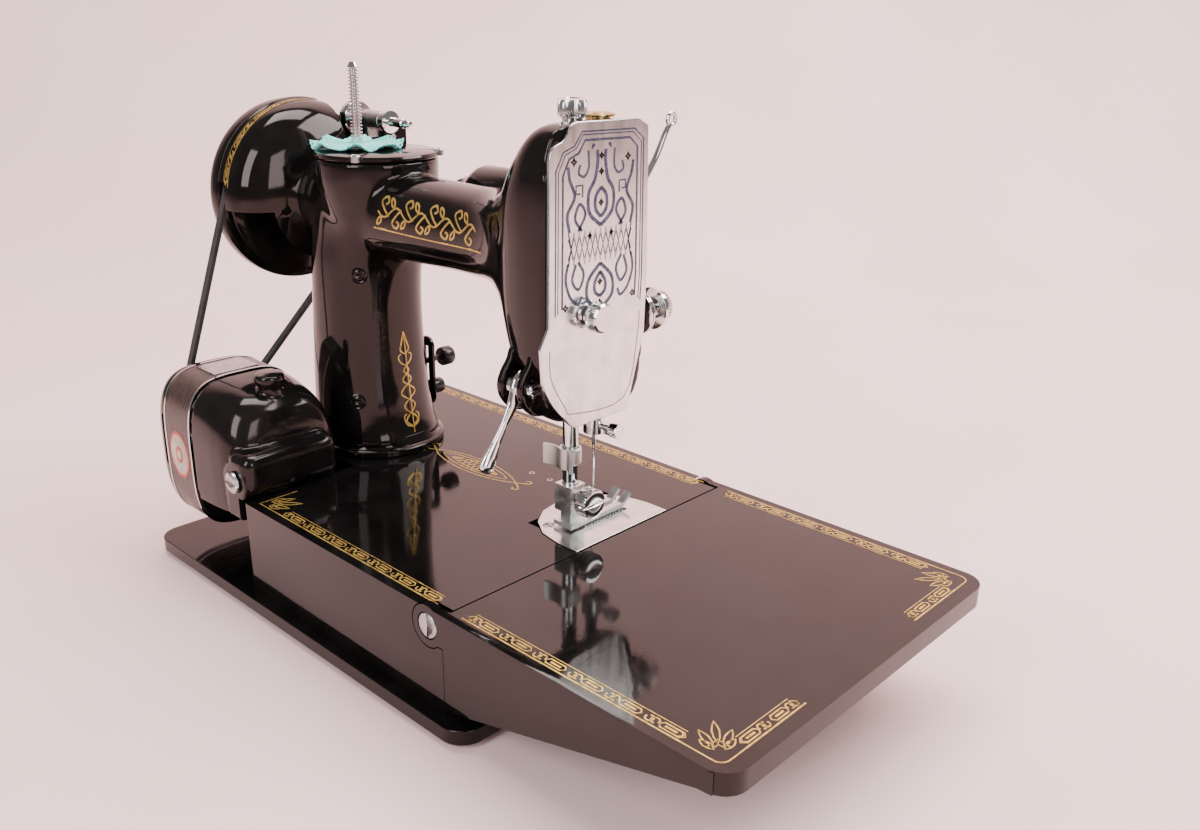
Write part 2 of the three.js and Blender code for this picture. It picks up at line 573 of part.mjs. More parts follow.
function makeTension() {
  const at = [TENSION.x, 0, TENSION.z];
  steel('tension_stud', turned('y', at, [
    [0, -53], [2, -53], [2, -31.6], [2.8, -31.6], [2.8, -24], [0, -24],
  ], 14));
  const dish = (y) => [
    [2.4, y], [6, y], [9.8, y - 1.6], [9.8, y - 0.8], [6, y + 0.9], [2.4, y + 0.9], [2.4, y],
  ];
  const mirrored = dish(0).map(([r, t]) => [r, -t - 38.2]).reverse();
  const hub = turned('y', at, [[2.4, -38.4], [3.4, -38.4], [3.4, -34.2], [2.4, -34.2], [2.4, -38.4]], 24);
  chrome('tension_discs', join(turned('y', at, dish(-34.4), 24), turned('y', at, mirrored, 24), hub));
  const coil = [];
  for (let i = 0; i <= 30; i += 1) {
    const turn = (i / 10) * Math.PI * 2;
    coil.push([TENSION.x + 4.4 * Math.cos(turn), -39.6 - i * 0.15, TENSION.z + 4.4 * Math.sin(turn)]);
  }
  steel('tension_spring', tube(coil, 0.5, 30, 3));
  const dial = turned('y', at, [
    [2.3, -52.4], [7, -52.4], [7.4, -51.8], [7.4, -47.6], [9.4, -47], [9.4, -45.2],
    [2.3, -45.2], [2.3, -52.4],
  ], 24);
  chrome('tension_dial', dial);
}

// ---------------------------------------------------------------- lamp, stitch lever and bobbin winder
function makeLamp() {
  const at = [0, -43, 132];
  const shade = turned('x', at, [
    [0, 82], [9, 82], [12.5, 86], [13.4, 95], [13.4, 118], [10, 126], [7, 132], [0, 132],
  ], 24);
  const inside = turned('x', at, [
    [0, 85], [8, 85], [11, 88], [11.6, 96], [11.6, 117], [8, 123], [0, 123],
  ], 20);
  const mouth = block([88, 116], [-62, -35], [115, 131]);
  const bracket = block([120, 130], [-35, -29.2], [124, 136]);
  const switchBore = rod('x', at, 122, 134, 3, 12);
  black('lamp_shade', cut(join(shade, bracket), inside, mouth, switchBore));
  add('lamp_bulb', turned('x', at, [
    [0, 92], [4, 93], [7, 97], [7.6, 103], [5, 110], [4.4, 114], [4.4, 121], [0, 121],
  ], 18), 0xf3efe2, 0.1);
  add('lamp_switch', turned('x', at, [
    [0, 123.6], [2.6, 123.6], [2.6, 132.4], [4.6, 132.4], [5, 133], [5, 138], [4.4, 139], [0, 139],
  ], 16), 0x151515, 0.3);
}

function makeStitchLever() {
  const plate = roundedPlate([-19, 19], [-5.5, 5.5], [0, 1.8], 5).rotate([90, 0, 0]).rotate([0, 90, 0]);
  const placed = plate.translate([164, -36.4, 32]);
  const slot = block([162.4, 165.6], [-42, -30], [18, 46]);
  black('stitch_plate', placed.subtract(slot));
  const stem = block([163, 165], [-46, -28], [36, 39]);
  const knob = turned('y', [164, 0, 37.5], [
    [0, -53], [4.6, -53], [5.2, -52], [5.2, -47], [4.6, -46], [0, -46],
  ], 18);
  const lever = join(stem, knob);
  add('stitch_lever', lever, 0x17171a, 0.2);
  add('stitch_stop_nut', turned('y', [164, 0, 22], [
    [0, -46], [3.6, -46], [4.2, -45], [4.2, -39.4], [1.4, -39.4], [1.4, -30], [0, -30],
  ], 16), 0x17171a, 0.2);
}

function makeBobbinWinder() {
  const { pivotY, pivotZ, spindleY, spindleZ } = WINDER;
  const base = block([194, 212], [pivotY - 9, pivotY + 8], [pivotZ - 8.6, pivotZ - 6]);
  const cheekLeft = block([196, 199], [pivotY - 8, pivotY + 6], [pivotZ - 7, pivotZ + 6]);
  const cheekRight = block([206, 209], [pivotY - 8, pivotY + 6], [pivotZ - 7, pivotZ + 6]);
  const pinHole = rod('x', [0, pivotY, pivotZ], 190, 220, 2, 12);
  black('winder_bracket', cut(join(base, cheekLeft, cheekRight), pinHole));
  const bodyBlock = join(
    rod('x', [0, pivotY, pivotZ], 199.4, 205.6, 5, 16),
    block([199.4, 205.6], [pivotY - 2, spindleY + 4], [pivotZ, pivotZ + 7]),
    rod('x', [0, spindleY, spindleZ], 190, 212, 5, 18),
  );
  const pivot = rod('x', [0, pivotY, pivotZ], 196.2, 208.8, 1.7, 12);
  const spindleBore = rod('x', [0, spindleY, spindleZ], 186, 220, 2.4, 12);
  steel('winder_arm', bodyBlock.add(pivot).subtract(spindleBore));
  const spindle = turned('x', [0, spindleY, spindleZ], [
    [0, 168], [2, 169], [2.4, 172], [2.4, 184], [5.6, 184.6], [5.6, 187.4], [2.1, 188.4], [2.1, 212.6],
    [8.4, 212.6], [9, 213.4], [9, 217.4], [8.4, 218.4], [0, 218.4],
  ], 16);
  chrome('winder_spindle', spindle);
}

// ---------------------------------------------------------------- handwheel and motor
function makeHandwheel() {
  const at = [0, SHAFT.y, SHAFT.z];
  const g = WHEEL.groove;
  black('handwheel', turned('x', at, [
    [4.5, 219.5], [12, 219.5], [12, 223], [36, 224], [43.8, 224.4], [g, 225.6], [g, 230.4], [43.8, 231.4],
    [WHEEL.radius, 232.4], [WHEEL.radius, 238.4], [45.6, 240], [41, 240], [38, 234], [20, 232],
    [15, 240], [4.5, 240], [4.5, 219.5],
  ], 30));
  chrome('clutch_knob', turned('x', at, [
    [0, 240.6], [4, 240.6], [4, 243.4], [14, 243.4], [15.4, 244.6], [15.4, 249.6],
    [14, RIGHT_END], [0, RIGHT_END],
  ], 22));
}

function makeMotor() {
  const { y, z, halfY, halfZ, start, end } = MOTOR;
  const size = (k) => [halfY * k, halfZ * k];
  const housing = loft('x', [
    { at: 189.3, mid: [y, z], half: size(0.99), power: 3.4 },
    { at: end - 9, mid: [y, z], half: size(0.99), power: 3.4 },
    { at: end - 3, mid: [y, z], half: size(0.95), power: 3.2 },
    { at: end, mid: [y, z], half: size(0.86), power: 3 },
  ], 24);
  const bandCut = loft('x', [
    { at: 190, mid: [y, z], half: size(1.1), power: 3.4 },
    { at: 216, mid: [y, z], half: size(1.1), power: 3.4 },
  ], 24).subtract(loft('x', [
    { at: 189, mid: [y, z], half: size(0.955), power: 3.4 },
    { at: 217, mid: [y, z], half: size(0.955), power: 3.4 },
  ], 24));
  const windings = rod('x', [0, MOTOR_PULLEY.y, MOTOR_PULLEY.z], 188, 219, 27, 24);
  const shaftBore = rod('x', [0, MOTOR_PULLEY.y, MOTOR_PULLEY.z], 187, 230, 9, 20);
  black('motor_housing', cut(housing, bandCut, windings, shaftBore));
  const bandOuter = loft('x', [
    { at: 190.3, mid: [y, z], half: size(1), power: 3.4 },
    { at: 215.7, mid: [y, z], half: size(1), power: 3.4 },
  ], 24);
  const bandInner = loft('x', [
    { at: 189, mid: [y, z], half: size(0.965), power: 3.4 },
    { at: 217, mid: [y, z], half: size(0.965), power: 3.4 },
  ], 24);
  const bandGap = block([180, 220], [y - 14, y + 14], [z - 60, z - 30]);
  add('motor_band', cut(bandOuter, bandInner, bandGap), 0x2a2422, 0.35, 0.3);
  const cover = loft('x', [
    { at: start, mid: [y - 4, z - 2], half: [20, 24], power: 2.6 },
    { at: start + 4, mid: [y - 2, z - 1], half: [29, 33], power: 2.8 },
    { at: start + 12, mid: [y, z], half: size(0.93), power: 3.1 },
    { at: start + 24, mid: [y, z], half: size(0.98), power: 3.4 },
    { at: 189, mid: [y, z], half: size(0.99), power: 3.4 },
  ], 24);
  const coverInside = loft('x', [
    { at: start + 6, mid: [y, z], half: [20, 22], power: 2.6 },
    { at: 190, mid: [y, z], half: [29, 33], power: 3 },
  ], 24);
  const tubeStem = turned('z', [163, y, 0], [
    [0, 24], [4.6, 24], [6.4, 47.5], [7, 50.5], [6.4, 52], [0, 52],
  ], 18);
  const foot = block([147, 162], [70, 87], [-12, 10]);
  const boltHole = rod('y', [152, 0, 7.7], 80, 90, 3.2, 12);
  black('motor_cover', cut(join(cover, tubeStem, foot, motorBracket()), coverInside, boltHole));
  steel('motor_screw', turned('y', [152, 0, 7.7], [
    [0, 81], [2.8, 81], [2.8, 87.4], [5.4, 87.4], [5.4, 88.6], [4.6, 89.4], [0, 89.4],
  ], 18));
  const pulleyAt = [0, MOTOR_PULLEY.y, MOTOR_PULLEY.z];
  const g = MOTOR_PULLEY.groove;
  steel('motor_pulley', turned('x', pulleyAt, [
    [0, 187.4], [3.6, 187.4], [3.6, 225.3], [11.6, 225.3], [g, 225.8], [g, 230.2], [11.6, 230.7], [4, 231],
    [4, 233], [0, 233],
  ], 20));
  makeBelt();
  makeTerminal();
}

/** The arm that carries the motor from the bed's rear corner. */
function motorBracket() {
  const outline = [[140, 0.3], [158, 0.3], [158, 26], [150, 24.5], [143, 19], [140, 11]];
  return sideProfile(outline, 36, 87);
}

/** The endless belt, as a loop of thin rectangular section round both grooves. */
function makeBelt() {
  const [big, small] = [WHEEL.groove, MOTOR_PULLEY.groove].map((groove) => groove + 0.5 + BELT.thick / 2);
  const [dy, dz] = [MOTOR_PULLEY.y - SHAFT.y, MOTOR_PULLEY.z - SHAFT.z];
  const span = Math.hypot(dy, dz);
  const heading = Math.atan2(dz, dy);
  const tilt = Math.acos((big - small) / span);
  const ring = (thick) => {
    const path = new THREE.Shape();
    path.absarc(SHAFT.y, SHAFT.z, big + thick, heading + tilt, heading - tilt + Math.PI * 2, false);
    path.absarc(MOTOR_PULLEY.y, MOTOR_PULLEY.z, small + thick, heading - tilt, heading + tilt, false);
    return path;
  };
  const outer = ring(BELT.thick / 2);
  const inner = ring(-BELT.thick / 2);
  outer.holes.push(inner);
  const loop = new THREE.ExtrudeGeometry(outer, {
    depth: BELT.width, bevelEnabled: false, curveSegments: 13,
  });
  loop.rotateX(Math.PI / 2);
  loop.rotateZ(Math.PI / 2);
  loop.translate(BELT.start, 0, 0);
  add('drive_belt', solid(loop), RUBBER, 0.7);
}

/** The three-pin inlet on the right of the bed, in front of the motor. */
function makeTerminal() {
  const shell = block([BED_END + GAP, BED_END + 9], [-30, 8], [-34, -12]);
  const well = block([BED_END + 3, BED_END + 10], [-26, 4], [-31, -15]);
  const pins = [-21, -11, -1].map((y) => rod('x', [0, y, -23], BED_END + 2, BED_END + 8, 1.6, 10));
  black('inlet_block', join(shell.subtract(well), ...pins));
}

makeTray();
makeBed();
makeLeaf();
makeStitchParts();
makeArm();
makeArmFittings();
makeHeadFittings();
makeLamp();
makeStitchLever();
makeBobbinWinder();
makeHandwheel();
makeMotor();

export default machine;
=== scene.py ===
"""Looks for the folding-bed sewing machine: smooth castings, turned fittings, ornament, doily and studio."""

import json
import math

import bmesh
import bpy
from mathutils import Matrix, Vector
from mathutils.bvhtree import BVHTree

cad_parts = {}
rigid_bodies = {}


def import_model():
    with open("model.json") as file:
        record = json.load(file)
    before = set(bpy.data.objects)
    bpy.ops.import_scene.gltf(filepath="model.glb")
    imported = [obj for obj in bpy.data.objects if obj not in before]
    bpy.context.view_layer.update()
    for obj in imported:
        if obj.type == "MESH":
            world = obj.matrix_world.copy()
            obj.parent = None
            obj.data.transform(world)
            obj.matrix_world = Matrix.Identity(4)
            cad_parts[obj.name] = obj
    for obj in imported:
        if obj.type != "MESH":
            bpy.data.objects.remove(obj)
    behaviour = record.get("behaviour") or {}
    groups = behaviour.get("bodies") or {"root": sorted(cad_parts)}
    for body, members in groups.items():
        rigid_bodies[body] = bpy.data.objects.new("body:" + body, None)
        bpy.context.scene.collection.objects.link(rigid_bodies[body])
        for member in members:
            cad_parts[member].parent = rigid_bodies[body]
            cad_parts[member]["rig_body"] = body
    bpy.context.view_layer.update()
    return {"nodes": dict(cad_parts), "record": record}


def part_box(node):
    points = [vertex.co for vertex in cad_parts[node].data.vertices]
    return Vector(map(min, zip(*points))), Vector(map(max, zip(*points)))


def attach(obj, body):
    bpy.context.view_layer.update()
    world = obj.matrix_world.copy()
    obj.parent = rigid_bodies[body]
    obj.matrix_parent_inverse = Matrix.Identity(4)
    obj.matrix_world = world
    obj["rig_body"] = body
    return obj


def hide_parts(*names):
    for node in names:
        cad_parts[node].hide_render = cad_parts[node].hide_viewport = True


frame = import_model()
nodes = frame["nodes"]

# ---------------------------------------------------------------- the machine frame, in millimetres
# Shapes are drawn in millimetres with x = 0 on the seam between bed and leaf, and z = 0 on the deck.
MM = 0.001
SEAM_GAP = 0.15
bed_low, bed_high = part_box("bed_casting")
MACHINE = Matrix.Translation((bed_low.x - SEAM_GAP * MM, 0, bed_high.z)) @ Matrix.Scale(MM, 4)
TO_MACHINE = MACHINE.inverted()


def extent(node):
    """Lowest and highest corner of a CAD node, in the machine frame."""
    low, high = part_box(node)
    return TO_MACHINE @ low, TO_MACHINE @ high


def middle(node):
    low, high = extent(node)
    return (low + high) / 2


SHAFT_Y, SHAFT_Z = middle("handwheel").y, middle("handwheel").z
PILLAR_Y = SHAFT_Y
PRESSER = (20, -1.8)  # x and y of the presser bar
NEEDLE = (20, -16.5)  # x and y of the needle bar
MOTOR_SHAFT = (64, 11)  # y and z
MOTOR_BOLT = (152, 0, 7.7)  # a point on the bolt's axis, which lies along y
DECK_HALF = extent("bed_leaf")[1].y
LEAF_END = extent("bed_leaf")[0].x


# ---------------------------------------------------------------- materials
def new_material(name, color, roughness, metallic=0.0):
    """A material whose shader has its even values set, with the tree and shader handed back too."""
    material = bpy.data.materials.new(name)
    material.use_nodes = True
    tree = material.node_tree
    shader = tree.nodes["Principled BSDF"]
    shader.inputs["Base Color"].default_value = (*color, 1)
    shader.inputs["Roughness"].default_value = roughness
    shader.inputs["Metallic"].default_value = metallic
    return material, tree, shader


def noise(tree, scale, detail=4.0, stretch=(1, 1, 1)):
    """Noise in object space; scale is in cycles per metre."""
    place = tree.nodes.new("ShaderNodeTexCoord")
    mapping = tree.nodes.new("ShaderNodeMapping")
    mapping.inputs["Scale"].default_value = stretch
    texture = tree.nodes.new("ShaderNodeTexNoise")
    texture.inputs["Scale"].default_value = scale
    texture.inputs["Detail"].default_value = detail
    tree.links.new(place.outputs["Object"], mapping.inputs["Vector"])
    tree.links.new(mapping.outputs["Vector"], texture.inputs["Vector"])
    return texture.outputs["Fac"]


def ramp(tree, source, low, high, start=0.35, end=0.65):
    """Two colours, or two grey values, mixed by a source between start and end."""
    node = tree.nodes.new("ShaderNodeValToRGB")
    node.color_ramp.elements[0].position = start
    node.color_ramp.elements[1].position = end
    for element, value in zip(node.color_ramp.elements, (low, high)):
        element.color = (*value, 1) if isinstance(value, tuple) else (value, value, value, 1)
    tree.links.new(source, node.inputs["Fac"])
    return node.outputs["Color"]


def bump(tree, shader, height, strength, distance):
    node = tree.nodes.new("ShaderNodeBump")
    node.inputs["Strength"].default_value = strength
    node.inputs["Distance"].default_value = distance
    tree.links.new(height, node.inputs["Height"])
    tree.links.new(node.outputs["Normal"], shader.inputs["Normal"])


def enamel(name, color, low=0.05, high=0.13):
    """Stoved black enamel: a faint orange peel, hazy patches where it was handled, and dust."""
    material, tree, shader = new_material(name, color, 0.08)
    tint = tuple(c * 1.7 + 0.001 for c in color)
    tree.links.new(ramp(tree, noise(tree, 60), color, tint), shader.inputs["Base Color"])
    tree.links.new(ramp(tree, noise(tree, 35, 8), low, high), shader.inputs["Roughness"])
    shader.inputs["IOR"].default_value = 1.38
    shader.inputs["Specular Tint"].default_value = (1.0, 0.84, 0.8, 1)
    bump(tree, shader, noise(tree, 420, 2), 0.03, 0.0004)
    return material


def plated(name, color, low, high, grain=900, stretch=(1, 1, 1), strength=0.03):
    """Plated or bare metal with uneven polish and fine grain."""
    material, tree, shader = new_material(name, color, low, 1.0)
    worn = tuple(c * 0.82 for c in color)
    tree.links.new(ramp(tree, noise(tree, 140, 6), worn, color), shader.inputs["Base Color"])
    tree.links.new(ramp(tree, noise(tree, 260, 8, stretch), low, high), shader.inputs["Roughness"])
    bump(tree, shader, noise(tree, grain, 3, stretch), strength, 0.0002)
    return material


def gold_leaf():
    """Gold transfer ornament, rubbed thinner in places."""
    material, tree, shader = new_material("gold_transfer", (0.55, 0.36, 0.07), 0.35, 0.65)
    color = ramp(tree, noise(tree, 500, 6), (0.34, 0.21, 0.035), (0.68, 0.47, 0.12), 0.3, 0.6)
    tree.links.new(color, shader.inputs["Base Color"])
    tree.links.new(ramp(tree, noise(tree, 300, 4), 0.28, 0.5), shader.inputs["Roughness"])
    return material


def etched():
    """The dark ground of the engraved face plate."""
    material, tree, shader = new_material("etched_ground", (0.05, 0.06, 0.11), 0.35, 0.55)
    color = ramp(tree, noise(tree, 700, 6), (0.035, 0.04, 0.075), (0.11, 0.12, 0.19))
    tree.links.new(color, shader.inputs["Base Color"])
    bump(tree, shader, noise(tree, 2500, 2), 0.2, 0.0001)
    return material


def rubber(name, color):
    material, tree, shader = new_material(name, color, 0.6)
    lighter = tuple(c * 1.9 for c in color)
    tree.links.new(ramp(tree, noise(tree, 240, 6), color, lighter), shader.inputs["Base Color"])
    tree.links.new(ramp(tree, noise(tree, 120, 4), 0.45, 0.8), shader.inputs["Roughness"])
    bump(tree, shader, noise(tree, 1400, 3), 0.25, 0.0003)
    return material


def yarn(name, color):
    """Cotton yarn: twisted fibres, lighter where they catch the light."""
    material, tree, shader = new_material(name, color, 0.85)
    darker = tuple(c * 0.62 for c in color)
    tree.links.new(ramp(tree, noise(tree, 900, 6), darker, color), shader.inputs["Base Color"])
    shader.inputs["Sheen Weight"].default_value = 0.35
    shader.inputs["Sheen Roughness"].default_value = 0.5
    bump(tree, shader, noise(tree, 2600, 4, (1, 1, 3)), 0.5, 0.0003)
    return material


def pearl_glass():
    material, tree, shader = new_material("pearl_glass", (0.93, 0.9, 0.84), 0.3)
    tree.links.new(ramp(tree, noise(tree, 300, 3), 0.2, 0.4), shader.inputs["Roughness"])
    tree.links.new(ramp(tree, noise(tree, 90, 2), (0.86, 0.83, 0.76), (0.95, 0.93, 0.88)),
                   shader.inputs["Base Color"])
    shader.inputs["Transmission Weight"].default_value = 0.35
    return material


def brown_band():
    """The motor's dark brown band, with a lengthwise grain."""
    material, tree, shader = new_material("brown_band", (0.03, 0.02, 0.018), 0.3)
    grain = noise(tree, 120, 6, (12, 1, 1))
    tree.links.new(ramp(tree, grain, (0.02, 0.012, 0.01), (0.055, 0.036, 0.03)), shader.inputs["Base Color"])
    tree.links.new(ramp(tree, grain, 0.22, 0.42), shader.inputs["Roughness"])
    return material


def paper_pink():
    """The plain pale studio paper."""
    material, tree, shader = new_material("studio_paper", (0.94, 0.66, 0.63), 0.9)
    color = ramp(tree, noise(tree, 4, 3), (0.92, 0.64, 0.61), (0.95, 0.69, 0.665))
    tree.links.new(color, shader.inputs["Base Color"])
    return material


BLACK = enamel("black_enamel", (0.003, 0.0026, 0.0026), 0.04, 0.1)
MOTOR_BLACK = enamel("motor_enamel", (0.004, 0.0036, 0.0036), 0.06, 0.14)
CHROME = plated("chrome", (0.83, 0.83, 0.83), 0.04, 0.14)
PLATE = plated("brushed_nickel", (0.84, 0.84, 0.83), 0.13, 0.26, 700, (1, 1, 0.08), 0.05)
STEEL = plated("worked_steel", (0.5, 0.5, 0.5), 0.2, 0.38, 1500)
SATIN = plated("satin_nickel", (0.72, 0.73, 0.7), 0.3, 0.44, 1200)
BRASS = plated("brass", (0.66, 0.47, 0.2), 0.2, 0.4)
GOLD = gold_leaf()
ETCHED = etched()
FOOT_RUBBER = rubber("foot_rubber", (0.02, 0.02, 0.02))
BELT_RUBBER = rubber("belt_rubber", (0.018, 0.017, 0.017))
TEAL = yarn("turquoise_yarn", (0.24, 0.93, 0.84))
PEARL = pearl_glass()
PHENOLIC = enamel("black_phenolic", (0.012, 0.012, 0.013), 0.12, 0.25)
BAND = brown_band()
BADGE_RED = enamel("badge_red", (0.42, 0.03, 0.02), 0.2, 0.35)
BADGE_CREAM = enamel("badge_cream", (0.36, 0.32, 0.27), 0.2, 0.35)
PAPER = paper_pink()

BY_SLOT = {
    "black_enamel": BLACK, "motor_enamel": MOTOR_BLACK, "motor_band_paint": BAND, "chrome": CHROME,
    "steel": STEEL, "brass": BRASS, "rubber": FOOT_RUBBER, "belt_rubber": BELT_RUBBER,
    "crochet_yarn": TEAL, "bulb_glass": PEARL, "dark_plastic": PHENOLIC,
}
NODE_SLOT = {part["node"]: part["material_slot"] for part in frame["record"]["subparts"]}
for node, thing in nodes.items():
    thing.data.materials.clear()
    thing.data.materials.append(BY_SLOT[NODE_SLOT[node]])


# ---------------------------------------------------------------- mesh helpers
def shown(name, mesh, material, body, slot, *stands_for):
    """Places a machine-frame mesh in the scene, gives it a finish and lets it ride on a body."""
    mesh.transform(MACHINE)
    mesh.materials.clear()
    mesh.materials.append(material)
    thing = bpy.data.objects.new(name, mesh)
    bpy.context.scene.collection.objects.link(thing)
    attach(thing, body)
    if stands_for:
        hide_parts(*stands_for)
    return thing


def mesh_from(bm, name, smooth_angle=32):
    """Finishes a bmesh as a mesh with clean normals, smooth except at sharp edges."""
    bmesh.ops.recalc_face_normals(bm, faces=bm.faces)
    limit = math.radians(smooth_angle)
    for face in bm.faces:
        face.smooth = True
    for edge in bm.edges:
        edge.smooth = len(edge.link_faces) == 2 and edge.calc_face_angle(0) < limit
    mesh = bpy.data.meshes.new(name)
    bm.to_mesh(mesh)
    bm.free()
    return mesh


def apply_modifiers(thing):
    """Bakes an object's modifiers into its mesh."""
    graph = bpy.context.evaluated_depsgraph_get()
    baked = bpy.data.meshes.new_from_object(thing.evaluated_get(graph))
    thing.modifiers.clear()
    old = thing.data
    thing.data = baked
    bpy.data.meshes.remove(old)
    return thing


def loose(mesh, name="work"):
    """An unplaced object that modifiers can work on."""
    thing = bpy.data.objects.new(name, mesh)
    bpy.context.scene.collection.objects.link(thing)
    return thing


def taken(thing):
    """The mesh of a work object, which goes away."""
    mesh = thing.data
    bpy.data.objects.remove(thing)
    return mesh


def bevelled(mesh, width, segments=3, angle=30):
    """Rounds the sharp edges of a mesh."""
    thing = loose(mesh)
    bevel = thing.modifiers.new("edges", "BEVEL")
    bevel.width = width
    bevel.segments = segments
    bevel.limit_method = "ANGLE"
    bevel.angle_limit = math.radians(angle)
    bevel.harden_normals = True
    bevel.use_clamp_overlap = True
    return taken(apply_modifiers(thing))


def carved(mesh, *cutters):
    """Cuts solids out of a mesh."""
    thing = loose(mesh)
    tool = loose(joined(cutters), "cutter")
    cut = thing.modifiers.new("cut", "BOOLEAN")
    cut.operation = "DIFFERENCE"
    cut.solver = "EXACT"
    cut.use_self = True
    cut.object = tool
    apply_modifiers(thing)
    taken(tool)
    return taken(thing)


def resurfaced(mesh, name, smooth_angle):
    """A carved mesh with its normals made clean again."""
    bm = bmesh.new()
    bm.from_mesh(mesh)
    return mesh_from(bm, name, smooth_angle)


def skinned(mesh, voxel):
    """A work object with one skin round everything in the mesh."""
    thing = loose(mesh)
    skin = thing.modifiers.new("skin", "REMESH")
    skin.mode = "VOXEL"
    skin.voxel_size = voxel
    return apply_modifiers(thing)


def relax(thing, iterations, group=""):
    """Rounds a work object's inner and outer corners, within a vertex group if one is named."""
    soft = thing.modifiers.new("fillets", "SMOOTH")
    soft.factor = 0.5
    soft.iterations = iterations
    soft.vertex_group = group


def turns(count, total=None):
    """Angles in steps of a count-th of a turn."""
    return [2 * math.pi * i / count for i in range(total or count)]


def bridge(bm, rings):
    """Walls between each ring of vertices and the next."""
    for low, high in zip(rings, rings[1:]):
        for i in range(len(low)):
            j = (i + 1) % len(low)
            bm.faces.new((low[i], low[j], high[j], high[i]))


def close_ends(bm, rings):
    """Caps on the first ring and the last."""
    bm.faces.new(rings[0])
    bm.faces.new(rings[-1])


def joined(meshes):
    """One mesh from several."""
    bm = bmesh.new()
    for mesh in meshes:
        bm.from_mesh(mesh)
    out = bpy.data.meshes.new("joined")
    bm.to_mesh(out)
    bm.free()
    return out


AXES = {"x": Matrix.Rotation(math.pi / 2, 4, "Y"), "y": Matrix.Rotation(-math.pi / 2, 4, "X"),
        "z": Matrix.Identity(4)}


def turned(axis, centre, profile, segments=72, knurl=None, bevel=0.25):
    """A lathe body: profile is [radius, distance along the axis]; radius 0 closes an end.

    knurl is (first, last, teeth, depth): the stretch between those distances is cut with ribs.
    """
    bm = bmesh.new()
    count = segments
    if knurl:
        first, last, teeth, depth = knurl
        count = teeth * 4
    closed = profile[0][0] > 0
    rings = []
    for radius, distance in profile:
        if radius == 0:
            rings.append([bm.verts.new((0, 0, distance))])
            continue
        ring = []
        for i in range(count):
            reach = radius
            if knurl and first <= distance <= last and i % 4 < 2:
                reach -= depth
            angle = 2 * math.pi * i / count
            ring.append(bm.verts.new((reach * math.cos(angle), reach * math.sin(angle), distance)))
        rings.append(ring)
    pairs = list(zip(rings, rings[1:]))
    if closed and profile[0] != profile[-1]:
        pairs.append((rings[-1], rings[0]))
    for low, high in pairs:
        for i in range(count):
            j = (i + 1) % count
            if len(low) == 1:
                bm.faces.new((low[0], high[i], high[j]))
            elif len(high) == 1:
                bm.faces.new((low[i], low[j], high[0]))
            else:
                bm.faces.new((low[i], low[j], high[j], high[i]))
    bmesh.ops.remove_doubles(bm, verts=bm.verts, dist=1e-5)
    bmesh.ops.transform(bm, matrix=Matrix.Translation(centre) @ AXES[axis], verts=bm.verts)
    mesh = mesh_from(bm, "turned")
    return bevelled(mesh, bevel, 2, 28) if bevel else mesh


def block(x, y, z, bevel=0.0):
    """A box between limits, with rounded edges if a bevel is given."""
    bm = bmesh.new()
    bmesh.ops.create_cube(bm, size=1)
    size = Vector((x[1] - x[0], y[1] - y[0], z[1] - z[0]))
    centre = Vector((x[0] + x[1], y[0] + y[1], z[0] + z[1])) / 2
    for vert in bm.verts:
        vert.co = Vector(a * b for a, b in zip(vert.co, size)) + centre
    mesh = mesh_from(bm, "block")
    return bevelled(mesh, bevel, 4) if bevel else mesh


def smooth_between(sections, at):
    """Catmull-Rom values between sections, each (distance, value, value, ...)."""
    last = len(sections) - 1
    i = max(0, min(last - 1, sum(1 for s in sections[1:] if s[0] <= at)))
    a, b = sections[i], sections[i + 1]
    before, after = sections[max(i - 1, 0)], sections[min(i + 2, last)]
    span = b[0] - a[0]
    t = (at - a[0]) / span
    values = []
    for k in range(1, len(a)):
        into = (b[k] - before[k]) / (b[0] - before[0]) * span
        out = (after[k] - a[k]) / (after[0] - a[0]) * span
        h = (2 * t**3 - 3 * t**2 + 1) * a[k] + (t**3 - 2 * t**2 + t) * into
        h += (3 * t**2 - 2 * t**3) * b[k] + (t**3 - t**2) * out
        values.append(h)
    return values


def loft(axis, sections, segments=96, rings=60):
    """A smooth body along x or z; a section is (distance, centre, centre, half, half, power)."""
    bm = bmesh.new()
    first, last = sections[0][0], sections[-1][0]
    loops = []
    for k in range(rings + 1):
        at = first + (last - first) * k / rings
        u0, v0, ru, rv, power = smooth_between(sections, at)
        loop = []
        for i in range(segments):
            angle = 2 * math.pi * i / segments
            c, s = math.cos(angle), math.sin(angle)
            u = u0 + math.copysign(abs(c) ** (2 / power), c) * ru
            v = v0 + math.copysign(abs(s) ** (2 / power), s) * rv
            loop.append(bm.verts.new((at, u, v) if axis == "x" else (u, v, at)))
        loops.append(loop)
    bridge(bm, loops)
    close_ends(bm, loops)
    return mesh_from(bm, "loft", 50)


def plate(outline, plane, low, high, bevel=0.0):
    """A flat outline given thickness; plane names the two axes that it lies in."""
    bm = bmesh.new()
    order = {
        "xy": lambda a, b, c: (a, b, c), "yz": lambda a, b, c: (c, a, b), "xz": lambda a, b, c: (a, c, b),
    }
    bottom = [bm.verts.new(order[plane](a, b, low)) for a, b in outline]
    top = [bm.verts.new(order[plane](a, b, high)) for a, b in outline]
    close_ends(bm, (bottom, top))
    bridge(bm, (bottom, top))
    mesh = mesh_from(bm, "plate")
    return bevelled(mesh, bevel, 3) if bevel else mesh


